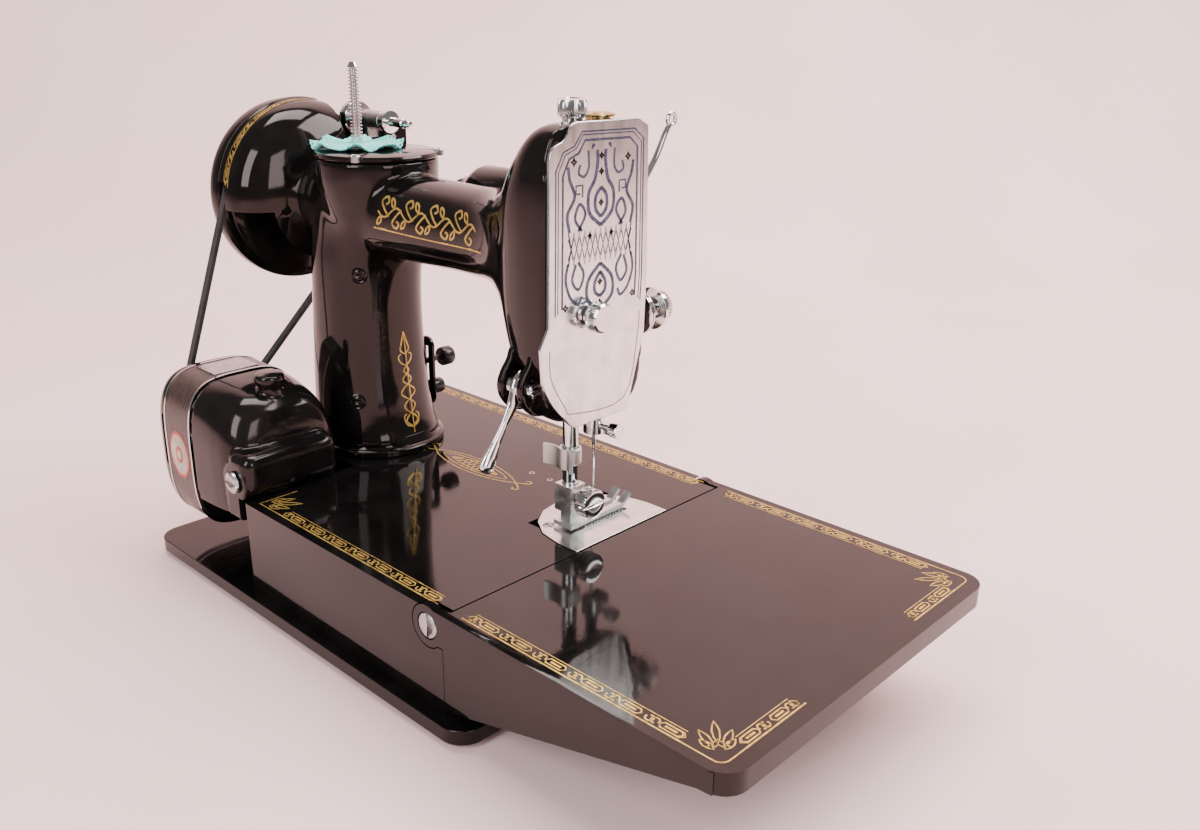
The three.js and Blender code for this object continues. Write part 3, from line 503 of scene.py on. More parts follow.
def tube(points, radius, sides=16, steps=12):
    """A round tube along a smooth curve; radius is a number or a function of the way along, 0 to 1."""
    path = curve_through(points, steps)
    bm = bmesh.new()
    loops = []
    up = Vector((0.13, 0.21, 0.97))
    total = len(path)
    for k, p in enumerate(path):
        along = (path[min(k + 1, total - 1)] - path[max(k - 1, 0)]).normalized()
        side = along.cross(up).normalized()
        up = side.cross(along).normalized()
        r = radius(k / (total - 1)) if callable(radius) else radius
        ring = []
        for i in range(sides):
            angle = 2 * math.pi * i / sides
            ring.append(bm.verts.new(p + side * (r * math.cos(angle)) + up * (r * math.sin(angle))))
        loops.append(ring)
    bridge(bm, loops)
    close_ends(bm, loops)
    return mesh_from(bm, "tube", 60)


def curve_through(points, steps):
    """Points on a Catmull-Rom curve."""
    p = [Vector(q) for q in points]
    ends = [p[0] * 2 - p[1], *p, p[-1] * 2 - p[-2]]
    out = []
    for a, b, c, d in zip(ends, ends[1:], ends[2:], ends[3:]):
        for k in range(steps):
            t = k / steps
            out.append(0.5 * (2 * b + (c - a) * t + (2 * a - 5 * b + 4 * c - d) * t**2
                              + (3 * b - a - 3 * c + d) * t**3))
    out.append(p[-1])
    return out


def cleaned(node):
    """A CAD node's mesh in the machine frame, with its flat faces whole again."""
    bm = bmesh.new()
    bm.from_mesh(nodes[node].data)
    bmesh.ops.transform(bm, matrix=TO_MACHINE, verts=bm.verts)
    bmesh.ops.remove_doubles(bm, verts=bm.verts, dist=0.002)
    bmesh.ops.dissolve_limit(bm, angle_limit=math.radians(1), verts=bm.verts, edges=bm.edges)
    return mesh_from(bm, node)


def rounded_node(node, width, segments=3, angle=32, material=None):
    """Shows a CAD node with its sharp edges rounded."""
    mesh = bevelled(cleaned(node), width, segments, angle)
    slot = NODE_SLOT[node]
    body = nodes[node]["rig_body"]
    return shown(node + "_finished", mesh, material or BY_SLOT[slot], body, slot, node)


# ---------------------------------------------------------------- castings
def rod(axis, x, y, z, low, high, radius):
    """A plain cutter along an axis; the coordinate along that axis is ignored."""
    centre = {"x": (0, y, z), "y": (x, 0, z), "z": (x, y, 0)}[axis]
    return turned(axis, centre, [(0, low), (radius, low), (radius, high), (0, high)], 40, bevel=0)


ARM_SECTIONS = [
    (5.9, -2, 117, 29.5, 59.6, 6), (15, -2, 117.2, 29.5, 59.2, 6), (22, -2, 118.2, 29, 55.5, 5.4),
    (31, -3, 121, 28, 44.5, 4.6), (42, -5, 124, 25, 30.5, 3.6), (56, -7, 124, 21.8, 22.4, 2.8),
    (74, -8, 123, 20, 19.8, 2.4), (120, -8, 122.4, 20.5, 20, 2.3), (160, -8, 122.4, 22, 21, 2.3),
    (186, -8, 124, 19, 19, 2),
]
PILLAR_SECTIONS = [
    (5, 170, -7.6, 31.4, 31, 2.4), (12, 171, -7, 30, 29.2, 2.4), (30, 172.5, -6.6, 28.4, 27.8, 2.4),
    (70, 173, -7, 26.6, 26.2, 2.4), (95, 172, -7.6, 27.6, 25.6, 2.4), (112, 168, -8, 31.5, 24.5, 2.5),
    (128, 163, -8, 32.5, 25, 2.5), (140, 159, -8, 28, 25, 2.3),
]
BOSS_X, BOSS_RADIUS = middle("arm_cover").x, 29.5
COVER_TOP = extent("arm_cover")[1].z
PIVOT_Y, PIVOT_Z = 27.5, 73


def make_arm():
    """The arm, head and pillar as one smooth casting, with its bores and slots."""
    boss = turned("z", (BOSS_X, PILLAR_Y, 0), [
        (0, 104), (BOSS_RADIUS - 11, 104), (BOSS_RADIUS - 4, 120), (BOSS_RADIUS - 0.8, 132),
        (BOSS_RADIUS, 138), (BOSS_RADIUS, COVER_TOP - 3), (0, COVER_TOP - 3),
    ], 96, bevel=0)
    winder_foot = block((192, 212), (-56, -16), (132, 143))
    neck = turned("x", (0, SHAFT_Y, SHAFT_Z), [
        (0, 184), (20.4, 184), (20.6, 192), (21.6, 194), (21.6, 198), (20.8, 199), (20.8, 204), (0, 204),
    ], 96, bevel=0)
    body = joined([
        loft("x", ARM_SECTIONS, 96, 80), loft("z", PILLAR_SECTIONS, 96, 60), boss, winder_foot, neck,
    ])
    thing = skinned(body, 1.0)
    group = thing.vertex_groups.new(name="broad")
    for vert in thing.data.vertices:
        away = min(1, max(0, (vert.co.x - 34) / 16)) * min(1, max(0, (141 - vert.co.z) / 8))
        group.add([vert.index], away, "REPLACE")
    relax(thing, 60, group.name)
    relax(thing, 8)
    body = taken(apply_modifiers(thing))
    cavity = loft("x", [
        (3, -3, 117, 23, 53, 5), (27, -3, 119, 22, 46, 4.5), (36, -5, 122, 16, 30, 3),
    ], 48, 24)
    body = carved(
        body, cavity,
        rod("z", *PRESSER, 0, 40, 80, 3.75), rod("z", *NEEDLE, 0, 40, 80, 3.4),
        rod("x", 0, SHAFT_Y, SHAFT_Z, 30, 210, 13), rod("z", 172, -8, 0, -1, 124, 15),
        rod("z", BOSS_X, PILLAR_Y, 0, 128, 160, 19),
        rod("z", *PRESSER, 0, 150, 182, 4.4), rod("z", *NEEDLE, 0, 150, 182, 5.4),
        block((9.5, 16.5), (-46, -20), (116, 172)), rod("y", 14, 0, 93.5, -45, -20, 3.4),
        block((16, 24), (20, 44), (60, 82)),
        block((162.2, 165.8), (-46, -20), (18, 46)),
    )
    arm = shown("arm_shell", resurfaced(body, "arm", 45), BLACK, "machine", "black_enamel", "arm_casting")
    ear = [
        (20, 60), (26, 61.4), (30.4, 65), (33.2, 69.6), (33.8, 74.4), (32, 79), (28.6, 83.6),
        (26.4, 88), (20, 90),
    ]
    for word, low, high in (("left", 12.6, 15.8), ("right", 24.2, 27.4)):
        cheek = plate([(p.x, p.y) for p in curve2(ear, 6)], "yz", low, high, 0.9)
        cheek = carved(cheek, rod("x", 0, PIVOT_Y, PIVOT_Z, 8, 32, 2.1))
        shown(f"lifter_ear_{word}", cheek, BLACK, "machine", "black_enamel")
    flange = turned("z", (169.5, PILLAR_Y, 0), [
        (16, 0.3), (33, 0.3), (33.6, 0.8), (33.6, 3.4), (33, 4), (31.8, 4.4), (30.8, 6), (29.8, 9),
        (16, 9), (16, 0.3),
    ], 128, bevel=0.2)
    shown("pillar_flange", flange, BLACK, "machine", "black_enamel")
    return arm


GUARD_LOW = SHAFT_Z - 5


def make_guard():
    """The bell-shaped belt guard, with a beaded rim."""
    outside = [(20.4, 199), (22, 200), (26, 201), (33, 203.4), (39, 206.6), (43.5, 211), (46, 216), (47, 221),
               (47, 225.4), (47.8, 226.4), (48.2, 227.8), (47.8, 229), (46.8, 229.7)]
    inside = [(44.7, 229.5), (44.6, 221.5), (42, 214.5), (35, 208.5), (26, 205), (20.4, 203)]
    shell = turned("x", (0, SHAFT_Y, SHAFT_Z), outside + inside + outside[:1], 160, bevel=0)
    shell = carved(
        shell, block((203.2, 240), (-80, 70), (40, GUARD_LOW)),
        block((203.2, 240), (-80, -20), (40, 190)), block((224.5, 240), (32, 70), (60, 133)),
    )
    shown("belt_guard", resurfaced(shell, "guard", 40), BLACK, "machine", "black_enamel", "arm_casting")


def make_base():
    rounded_node("bed_casting", 1.1, 4)
    rounded_node("bed_leaf", 1.2, 4)
    rounded_node("drip_tray", 1.6, 4)
    for i in range(1, 5):
        place = middle(f"rubber_foot_{i}")
        low, high = extent(f"rubber_foot_{i}")
        foot = turned("z", (place.x, place.y, 0), [
            (0, low.z), (2, low.z), (2.4, low.z + 0.8), (4.4, low.z + 0.8), (4.8, low.z), (7, low.z),
            (8, low.z + 1), (8, high.z), (0, high.z),
        ], 48, bevel=0.2)
        shown(f"foot_pad_{i}", foot, FOOT_RUBBER, "machine", "rubber", f"rubber_foot_{i}")
    for word, side in (("rear", 1), ("front", -1)):
        place = middle(f"leaf_screw_{word}")
        face = side * DECK_HALF
        profile = [(0, face - side * 5.6), (4, face - side * 5.6), (4, face - side * 2.5),
                   (5.5, face - side * 2.5), (5.5, face - side * 0.5), (5.1, face), (0, face)]
        head = turned("y", (place.x, 0, place.z), profile, 64, bevel=0.15)
        slot = block((place.x - 0.55, place.x + 0.55), sorted((face + side * 3, face - side * 1)),
                     (place.z - 8, place.z + 8))
        head = carved(head, slot)
        shown(f"leaf_screw_head_{word}", head, STEEL, "machine", "steel", f"leaf_screw_{word}")


# ---------------------------------------------------------------- needle plate, foot and head fittings
def make_plate_and_feed():
    drilled = carved(bevelled(cleaned("needle_plate"), 0.18, 2), rod("z", *NEEDLE, 0, -4, 3, 0.85))
    shown("needle_plate_finished", drilled, PLATE, "machine", "chrome", "needle_plate")
    for word in ("rear", "front"):
        rounded_node(f"needle_plate_screw_{word}", 0.12, 2)
    rounded_node("feed_dog", 0.12, 2)
    inner_works = (
        "rotating_hook", "bobbin_case", "thread_bobbin", "hook_shaft", "upright_shaft", "main_shaft",
    )
    for node in inner_works:
        rounded_node(node, 0.15, 2)


def make_head():
    """Face plate, needle bar, presser works and the screws on the head."""
    rounded_node("face_plate", 0.35, 3, 32, PLATE)
    screw = turned("x", (0, 3.6, 101.5), [
        (0, -4.2), (5.2, -4.2), (6, -3.6), (6.2, -2.8), (6.2, 0.6), (5.6, 1.4), (4.4, 1.8), (4.4, 3.6),
        (1.9, 3.6), (1.9, 9), (0, 9),
    ], knurl=(-3, 0.7, 44, 0.35), bevel=0)
    shown("face_plate_thumbscrew", screw, CHROME, "machine", "chrome", "face_plate_screw")
    cap = turned("z", (*PRESSER, 0), [
        (2.6, 160.8), (4.1, 160.8), (4.1, 176.8), (5, 177), (5.6, 177.2), (5.9, 178), (5.9, 182.6),
        (5.4, 184), (4.6, 184.4), (3.4, 184.4), (2.6, 183.4), (2.6, 160.8),
    ], knurl=(178, 182.6, 40, 0.35), bevel=0)
    shown("pressure_cap", cap, CHROME, "pressure_screw", "chrome", "pressure_screw")
    oil = turned("z", (*NEEDLE, 0), [
        (0, 171), (5, 171), (5, 176.9), (6.6, 176.9), (7, 177.3), (6.9, 177.9), (6, 178.2), (4.4, 178),
        (3.6, 177.5), (2.6, 177.5), (2.2, 178.1), (0, 178.3),
    ], 64, bevel=0)
    shown("oil_cap_top", oil, BRASS, "machine", "brass", "oil_cap")
    needle_bar = turned("z", (*NEEDLE, 0), [
        (0, 41), (2.7, 41), (3, 41.4), (3, 168), (2.2, 169), (0, 169),
    ], 48, bevel=0)
    shown("needle_bar_rod", needle_bar, CHROME, "needle_bar", "chrome", "needle_bar")
    presser = turned("z", (*PRESSER, 0), [
        (0, 17.5), (3.1, 17.5), (3.4, 17.9), (3.4, 96), (5.4, 96), (5.4, 101), (2.2, 101), (2.2, 160),
        (0, 160),
    ], 48, bevel=0)
    shown("presser_bar_rod", presser, CHROME, "presser", "chrome", "presser_bar")
    rounded_node("needle_clamp", 0.25, 2)
    needle = turned("z", (*NEEDLE, 0), [
        (0, 11.5), (0.16, 12.2), (0.42, 14.5), (0.45, 34), (0.9, 36), (0.9, 40.7), (0, 40.7),
    ], 24, bevel=0)
    eye = rod("x", 0, -16.5, 16.2, 15, 25, 0.16)
    needle = carved(needle, eye)
    shown("needle", needle, CHROME, "needle_bar", "chrome", "sewing_needle")
    rounded_node("presser_foot", 0.45, 3, 32, SATIN)
    ring = turned("z", (*PRESSER, 0), [
        (3.7, 31), (4.6, 31), (5, 31.4), (5, 38), (4.6, 38.4), (3.7, 38.4), (3.7, 31),
    ], 64, bevel=0)
    inner = curve2([(31, 3.2), (27.6, 2.1), (24, 1.9), (20, 3), (16.4, 2.2), (13.2, 4.6)], 8)
    strap = [(p.x, p.y) for p in inner] + [(p.x, p.y + 1.1) for p in reversed(inner)]
    wing = plate(strap, "xy", 29.2, 38.8, 0.35)
    shown("cutter", joined([ring, wing]), SATIN, "presser", "chrome", "thread_cutter")
    thumb = turned("x", (0, -1.8, 15.6), [
        (0, 4.6), (5.4, 4.6), (6.3, 4.9), (6.7, 5.6), (6.7, 10.4), (6.2, 11.4), (3, 11.4), (3, 14.2),
        (1.9, 14.2), (1.9, 17.5), (0, 17.5),
    ], knurl=(5.5, 10.5, 36, 0.4), bevel=0)
    slot = block((3, 5.6), (-9, 6), (15.0, 16.2))
    shown("foot_thumbscrew", carved(thumb, slot), CHROME, "presser", "chrome", "foot_screw")


LEVER_SWELL = [
    (0, 0.5), (0.04, 2.4), (0.1, 4.2), (0.2, 4.4), (0.34, 2.8), (0.5, 1.9), (0.66, 2.3), (0.82, 3.6),
    (0.92, 3.9), (0.97, 2.8), (1, 0.6),
]


def swell(t):
    """Half width of the lifter's lever along its length."""
    for (t0, r0), (t1, r1) in zip(LEVER_SWELL, LEVER_SWELL[1:]):
        if t <= t1:
            return r0 + (r1 - r0) * (t - t0) / (t1 - t0)
    return LEVER_SWELL[-1][1]


def make_lifter():
    """The lifter: a hub and a forged lever that narrows at its waist and ends in a drop."""
    hub = turned("x", (0, PIVOT_Y, PIVOT_Z), [
        (0, 16.4), (4.2, 16.4), (4.6, 16.9), (4.6, 23.1), (4.2, 23.6), (0, 23.6),
    ], 48, bevel=0)
    pin = turned("x", (0, PIVOT_Y, PIVOT_Z), [
        (0, 10.8), (2.6, 10.9), (3.2, 11.3), (3.4, 12.2), (1.9, 12.3), (1.9, 27.8), (0, 27.8),
    ], 32, bevel=0)
    pin = carved(pin, block((10, 11.5), (20, 35), (72.5, 73.5)))
    line = [(26.4, 80), (28, 73), (31.4, 66.4), (36, 59), (40.6, 52), (44.6, 45.6), (47.6, 40.4)]
    arm = tube([(20, y, z) for y, z in line], swell, 28, 12)
    for vert in arm.vertices:
        vert.co.x = 20 + (vert.co.x - 20) * 0.62
    shown("lifter", joined([hub, pin, arm]), CHROME, "lifter", "chrome", "lifter_lever")


def make_take_up():
    line = [(-12, 139), (-24, 141), (-34, 147), (-44, 158), (-50, 168), (-53, 172)]
    bar = tube([(13, y, z) for y, z in line], lambda t: 1.9 - 0.7 * t, 20, 8)
    hub = turned("x", (0, -12, 139), [(0, 10.5), (5, 10.5), (5, 15.5), (0, 15.5)], 48, bevel=0.4)
    ring = tube([(13, -54 + 2.5 * math.cos(a), 174 + 2.5 * math.sin(a))
                 for a in turns(12, 13)], 0.95, 14, 4)
    shown("take_up", joined([bar, hub, ring]), CHROME, "take_up", "chrome", "take_up_lever")


def make_tension():
    centre = (14, 0, 93.5)
    rounded_node("tension_stud", 0.2, 2)
    discs = []
    for side, base in ((1, -34.4), (-1, -38.2)):
        outline = [(2.5, base), (6, base), (9.8, base - side * 1.6), (9.8, base - side * 0.9),
                   (6, base + side * 0.8), (2.5, base + side * 0.8)]
        discs.append(turned("y", centre, outline + outline[:1], 96, bevel=0))
    shown("tension_plates", joined(discs), CHROME, "machine", "chrome", "tension_discs")
    coil = [(14 + 4.4 * math.cos(a), -39.6 - 0.72 * a / math.pi, 93.5 + 4.4 * math.sin(a))
            for a in turns(12, 37)]
    shown("tension_coil", tube(coil, 0.5, 12, 3), STEEL, "machine", "steel", "tension_spring")
    dial = turned("y", centre, [
        (2.3, -45.2), (9.4, -45.2), (9.4, -47), (7.4, -47.6), (7.4, -51.6), (6.9, -52.4), (2.3, -52.4),
        (2.3, -45.2),
    ], knurl=(-51.7, -47.5, 36, 0.4), bevel=0)
    shown("tension_knob", dial, CHROME, "tension_dial", "chrome", "tension_dial")


# ---------------------------------------------------------------- top of the arm
def make_cover():
    """The round cover with a bead, its screws and the ribbed spool pin."""
    cover = turned("z", (BOSS_X, PILLAR_Y, 0), [
        (0, COVER_TOP - 2.7), (BOSS_RADIUS, COVER_TOP - 2.7), (BOSS_RADIUS + 0.5, COVER_TOP - 2.2),
        (BOSS_RADIUS + 0.5, COVER_TOP - 1.2), (BOSS_RADIUS - 0.2, COVER_TOP - 0.3),
        (BOSS_RADIUS - 1.4, COVER_TOP), (0, COVER_TOP),
    ], 128, bevel=0)
    pin = middle("spool_pin")
    holes = [rod("z", pin.x, pin.y, 0, 140, 160, 3.3)]
    for i in (1, 2):
        place = middle(f"cover_screw_{i}")
        holes.append(rod("z", place.x, place.y, 0, 140, 160, 2.7))
        head = turned("z", (place.x, place.y, 0), [
            (0, COVER_TOP - 2.4), (2.4, COVER_TOP - 2.4), (2.4, COVER_TOP + 0.3), (1.9, COVER_TOP + 0.9),
            (0, COVER_TOP + 1.2),
        ], 48, bevel=0)
        groove = block((place.x - 0.35, place.x + 0.35), (place.y - 4, place.y + 4),
                       (COVER_TOP + 0.4, COVER_TOP + 4))
        shown(f"cover_screw_head_{i}", carved(head, groove), STEEL, "machine", "steel", f"cover_screw_{i}")
    shown("round_cover", carved(cover, *holes), BLACK, "machine", "black_enamel", "arm_cover")
    top = extent("spool_pin")[1].z
    profile = [(0, COVER_TOP - 2.4), (2.9, COVER_TOP - 2.4), (2.9, COVER_TOP + 4.4)]
    pitch = 1.6
    rib = COVER_TOP + 4.6
    while rib < top - 3:
        profile += [(1.75, rib), (1.75, rib + 0.65), (2.9, rib + 0.9), (2.9, rib + 1.35)]
        rib += pitch
    profile += [(2.3, top - 1.6), (1.6, top - 0.3), (0, top)]
    ribbed = turned("z", (pin.x, pin.y, 0), profile, 48, bevel=0)
    shown("ribbed_pin", ribbed, CHROME, "machine", "chrome", "spool_pin")


DOILY_RADIUS = 22.0


def doily_height(radius, angle):
    """The ruffled cloth's height above the cover at a place."""
    share = radius / DOILY_RADIUS
    ruffle = 1.35 * share**3 * math.sin(8 * angle + 0.6)
    flutter = 0.5 * share**3 * math.sin(13 * angle)
    return 1.5 + 0.25 * share + ruffle + flutter


def make_doily():
    """A small ruffled crocheted mat: a fine ground, rounds of chain loops and a picot edge."""
    pin = middle("spool_pin")

    def spot(radius, angle, lift=0.0):
        z = COVER_TOP + doily_height(radius, angle) + lift
        return Vector((pin.x + radius * math.cos(angle), pin.y + radius * math.sin(angle), z))

    bm = bmesh.new()
    around, outwards, inner = 192, 26, 3.6
    layers = []
    for lift in (-0.25, 0.25):
        rows = []
        for k in range(outwards + 1):
            radius = inner + (DOILY_RADIUS - 1.2 - inner) * k / outwards
            rows.append([bm.verts.new(spot(radius, 2 * math.pi * i / around, lift)) for i in range(around)])
        layers.append(rows)
    for rows in layers:
        bridge(bm, rows)
    for edge in (0, -1):
        bridge(bm, (layers[0][edge], layers[1][edge]))
    ground = shown("doily", mesh_from(bm, "doily", 60), TEAL, "machine", "crochet_yarn", "spool_doily")

    loops = []
    radius = inner + 0.9
    row = 0
    while radius < DOILY_RADIUS - 0.6:
        count = round(2 * math.pi * radius / 2.2)
        for i in range(count):
            angle = 2 * math.pi * (i + 0.5 * (row % 2)) / count
            loops.append(stitch(spot, radius, angle, 1.05, 0.95, 0.36))
        radius += 1.55
        row += 1
    edge_count = 56
    for i in range(edge_count):
        loops.append(stitch(spot, DOILY_RADIUS - 0.9, 2 * math.pi * i / edge_count, 1.0, 1.2, 0.4))
    stitches = shown("doily_stitches", joined(loops), TEAL, "machine", "crochet_yarn", "spool_doily")


def stitch(spot, radius, angle, along, across, thick):
    """One closed yarn loop lying on the mat."""
    bm = bmesh.new()
    sides, steps = 6, 12
    loops = []
    for k in range(steps):
        t = 2 * math.pi * k / steps
        r = radius + across * math.cos(t)
        a = angle + along * math.sin(t) / radius
        centre = spot(r, a, 0.45 + 0.2 * math.cos(2 * t))
        out = Vector((math.cos(t) * math.cos(angle) - math.sin(t) * math.sin(angle),
                      math.cos(t) * math.sin(angle) + math.sin(t) * math.cos(angle), 0))
        ring = []
        for i in range(sides):
            turn = 2 * math.pi * i / sides
            rise = Vector((0, 0, thick * math.sin(turn)))
            ring.append(bm.verts.new(centre + out * (thick * math.cos(turn)) + rise))
        loops.append(ring)
    bridge(bm, [*loops, loops[0]])
    return mesh_from(bm, "stitch", 80)


# ---------------------------------------------------------------- lamp, stitch lever and winder
def make_lamp():
    lamp_y, lamp_z = -43, 132
    shade = turned("x", (0, lamp_y, lamp_z), [
        (0, 82), (8, 82.2), (10.6, 83.2), (12.4, 85.6), (13.2, 90), (13.4, 96), (13.4, 118), (12.4, 121.6),
        (10, 125.5), (8, 129), (7, 132), (0, 132),
    ], 96, bevel=0)
    inside = turned("x", (0, lamp_y, lamp_z), [
        (0, 85), (8, 85), (11, 88), (11.6, 96), (11.6, 117), (8, 123), (0, 123),
    ], 64, bevel=0)
    bracket = block((120, 130), (-35, -29.2), (124, 136), 1.2)
    shade = carved(joined([shade, bracket]), inside, block((88, 116), (-62, -35), (115, 131)),
                   rod("x", 0, lamp_y, lamp_z, 122, 134, 3))
    shown("lamp_hood", resurfaced(shade, "shade", 40), BLACK, "machine", "black_enamel", "lamp_shade")
    bulb = turned("x", (0, lamp_y, lamp_z), [
        (0, 92), (3, 92.4), (5.4, 94), (7, 97), (7.6, 101), (7.2, 105), (5.6, 109.4), (4.6, 112), (4.4, 114),
        (4.4, 121), (0, 121),
    ], 64, bevel=0)
    shown("bulb", bulb, PEARL, "machine", "bulb_glass", "lamp_bulb")
    switch = turned("x", (0, lamp_y, lamp_z), [
        (0, 123.6), (2.6, 123.6), (2.6, 132.4), (4.6, 132.4), (5, 133), (5, 138), (4.4, 139), (0, 139),
    ], knurl=(133, 138, 18, 0.4), bevel=0)
    shown("switch_knob", switch, PHENOLIC, "lamp_switch", "dark_plastic", "lamp_switch")


def make_stitch_lever():
    rounded_node("stitch_plate", 0.3, 2)
    rounded_node("stitch_stop_nut", 0.35, 3)
    rounded_node("stitch_lever", 0.4, 3)


def make_winder():
    rounded_node("winder_bracket", 0.5, 3)
    rounded_node("winder_arm", 0.5, 3)
    spot = middle("winder_spindle")
    spindle = turned("x", (0, spot.y, spot.z), [
        (0, 168), (1.4, 168.4), (2.4, 170.4), (2.4, 172), (2, 172.4), (2, 173.4), (2.4, 174),
        (2.4, 184), (5.6, 184.6), (5.6, 187.4), (2.1, 188.4), (2.1, 212.6), (6, 212.6), (8.4, 212.6),
        (9, 213.6), (9, 217.4), (8.4, 218.4), (0, 218.4),
    ], 64, bevel=0)
    shown("winder_shaft", spindle, CHROME, "winder_spindle", "chrome", "winder_spindle")


# ---------------------------------------------------------------- handwheel, motor and belt
GROOVE = 40.5


def make_wheel():
    centre = (0, SHAFT_Y, SHAFT_Z)
    wheel = turned("x", centre, [
        (4.5, 219.5), (12, 219.5), (12, 223), (36, 224), (43.2, 224.3), (44, 224.7), (43.4, 225.2),
        (GROOVE, 225.6), (GROOVE, 230.4), (43.4, 231), (44.4, 231.4), (46, 231.6), (46.8, 232.2),
        (47, 233.4), (47, 237.4), (46.4, 239.2), (45, 240), (42.4, 240), (41, 239.4), (38, 234),
        (20, 232), (16, 239), (15, 240), (4.5, 240), (4.5, 219.5),
    ], 160, bevel=0)
    shown("wheel", wheel, BLACK, "handwheel", "black_enamel", "handwheel")
    right = extent("clutch_knob")[1].x
    knob = turned("x", centre, [
        (0, 240.6), (4, 240.6), (4, 243.4), (13.6, 243.4), (15, 244), (15.4, 245), (15.4, 249.4),
        (14.6, right - 0.6), (13.4, right), (6, right), (5, right - 0.8), (0, right - 0.8),
    ], knurl=(244.8, 249.6, 60, 0.45), bevel=0)
    shown("clutch", knob, CHROME, "clutch", "chrome", "clutch_knob")


MOTOR_Y, MOTOR_Z, MOTOR_HALF_Y, MOTOR_HALF_Z = 58, 7.5, 30, 39
MOTOR_POWER = 3.6


def motor_ring(at, share, power=MOTOR_POWER):
    return (at, MOTOR_Y, MOTOR_Z, MOTOR_HALF_Y * share, MOTOR_HALF_Z * share, power)


def make_motor():
    """The motor: end cover with its brush tube and bracket, waisted housing and the band round it."""
    housing = loft("x", [
        motor_ring(189.3, 0.955), motor_ring(215.9, 0.955), motor_ring(216.2, 0.985), motor_ring(219, 0.99),
        motor_ring(222.5, 0.965, 3.4), motor_ring(224.4, 0.93, 3.2), motor_ring(225, 0.88, 3),
    ], 128, 80)
    housing = carved(housing, rod("x", 0, *MOTOR_SHAFT, 188, 219, 27), rod("x", 0, *MOTOR_SHAFT, 187, 230, 9))
    finished = resurfaced(housing, "housing", 40)
    shown("motor_body", finished, MOTOR_BLACK, "machine", "motor_enamel", "motor_housing")

    cover = loft("x", [
        (150, MOTOR_Y - 3, MOTOR_Z - 2, 17, 20, 2.4), (151.2, MOTOR_Y - 2.4, MOTOR_Z - 1.4, 22, 25.6, 2.5),
        (154, MOTOR_Y - 1.4, MOTOR_Z - 0.6, 25.8, 30.6, 2.7), (160, MOTOR_Y - 0.4, MOTOR_Z, 28.2, 34.8, 2.9),
        (170, MOTOR_Y, MOTOR_Z, 29.2, 37.4, 3.2), (180, MOTOR_Y, MOTOR_Z, 29.6, 38.4, 3.5),
        (189, MOTOR_Y, MOTOR_Z, 29.8, 38.7, 3.6),
    ], 128, 70)
    stem = turned("z", (163, 58, 0), [
        (0, 24), (8.4, 28), (7.4, 36), (6, 40), (5.4, 45.4), (6.6, 47), (7.2, 48.4), (7.2, 50.6),
        (6.6, 51.8), (0, 52.2),
    ], 64, bevel=0)
    pad = turned("y", MOTOR_BOLT, [(0, 60), (12, 64), (11, 80), (9.4, 87), (0, 87)], 64, bevel=0)
    bracket = block((140.5, 160), (36.5, 87), (0.5, 22), 6)
    body = joined([cover, stem, bracket, pad, block((147, 162), (70, 87), (-12, 10), 2)])
    thing = skinned(body, 0.7)
    relax(thing, 5)
    body = taken(apply_modifiers(thing))
    hollow = loft("x", [(156, MOTOR_Y, MOTOR_Z, 20, 22, 2.6), (191, MOTOR_Y, MOTOR_Z, 28.6, 34.4, 3.4)],
                  64, 12)
    body = carved(body, hollow, rod("y", *MOTOR_BOLT, 80, 90, 3.2),
                  block((120, 200), (-10, 100), (-40, -12.2)),
                  block((130, 149.9), (30, 90), (-14, 0.25)))
    finished = resurfaced(body, "cover", 45)
    shown("motor_end", finished, MOTOR_BLACK, "machine", "motor_enamel", "motor_cover")

    screw = turned("y", MOTOR_BOLT, [
        (0, 81), (2.8, 81), (2.8, 87.4), (5.2, 87.4), (5.4, 87.8), (5.2, 88.8), (4.2, 89.4), (0, 89.4),
    ], 64, bevel=0)
    screw = carved(screw, block((146, 158), (88.6, 92), (7.1, 8.3)))
    shown("motor_bolt", screw, STEEL, "machine", "steel", "motor_screw")

    band = carved(loft("x", [motor_ring(191.6, 1.0), motor_ring(214.4, 1.0)], 160, 6),
                  loft("x", [motor_ring(190, 0.965), motor_ring(217, 0.965)], 160, 4))
    shown("band", band, BAND, "machine", "motor_band_paint", "motor_band")
    for name, low in (("band_edge_left", 190.2), ("band_edge_right", 214.6)):
        edge = carved(loft("x", [motor_ring(low, 1.006), motor_ring(low + 1.2, 1.006)], 160, 2),
                      loft("x", [motor_ring(low - 1, 0.965), motor_ring(low + 3, 0.965)], 160, 2))
        shown(name, edge, CHROME, "machine", "motor_band_paint", "motor_band")
    make_badges()
    pulley = turned("x", (0, *MOTOR_SHAFT), [
        (0, 187.4), (3.6, 187.4), (3.6, 225.3), (11.2, 225.3), (11.6, 225.6), (9.5, 225.9),
        (9.5, 230.1), (11.6, 230.4), (11.2, 230.8), (4.4, 231), (4, 233), (0, 233),
    ], 64, bevel=0)
    shown("pulley", pulley, STEEL, "motor_pulley", "steel", "motor_pulley")
    rounded_node("drive_belt", 0.5, 2)
    rounded_node("inlet_block", 0.6, 3)


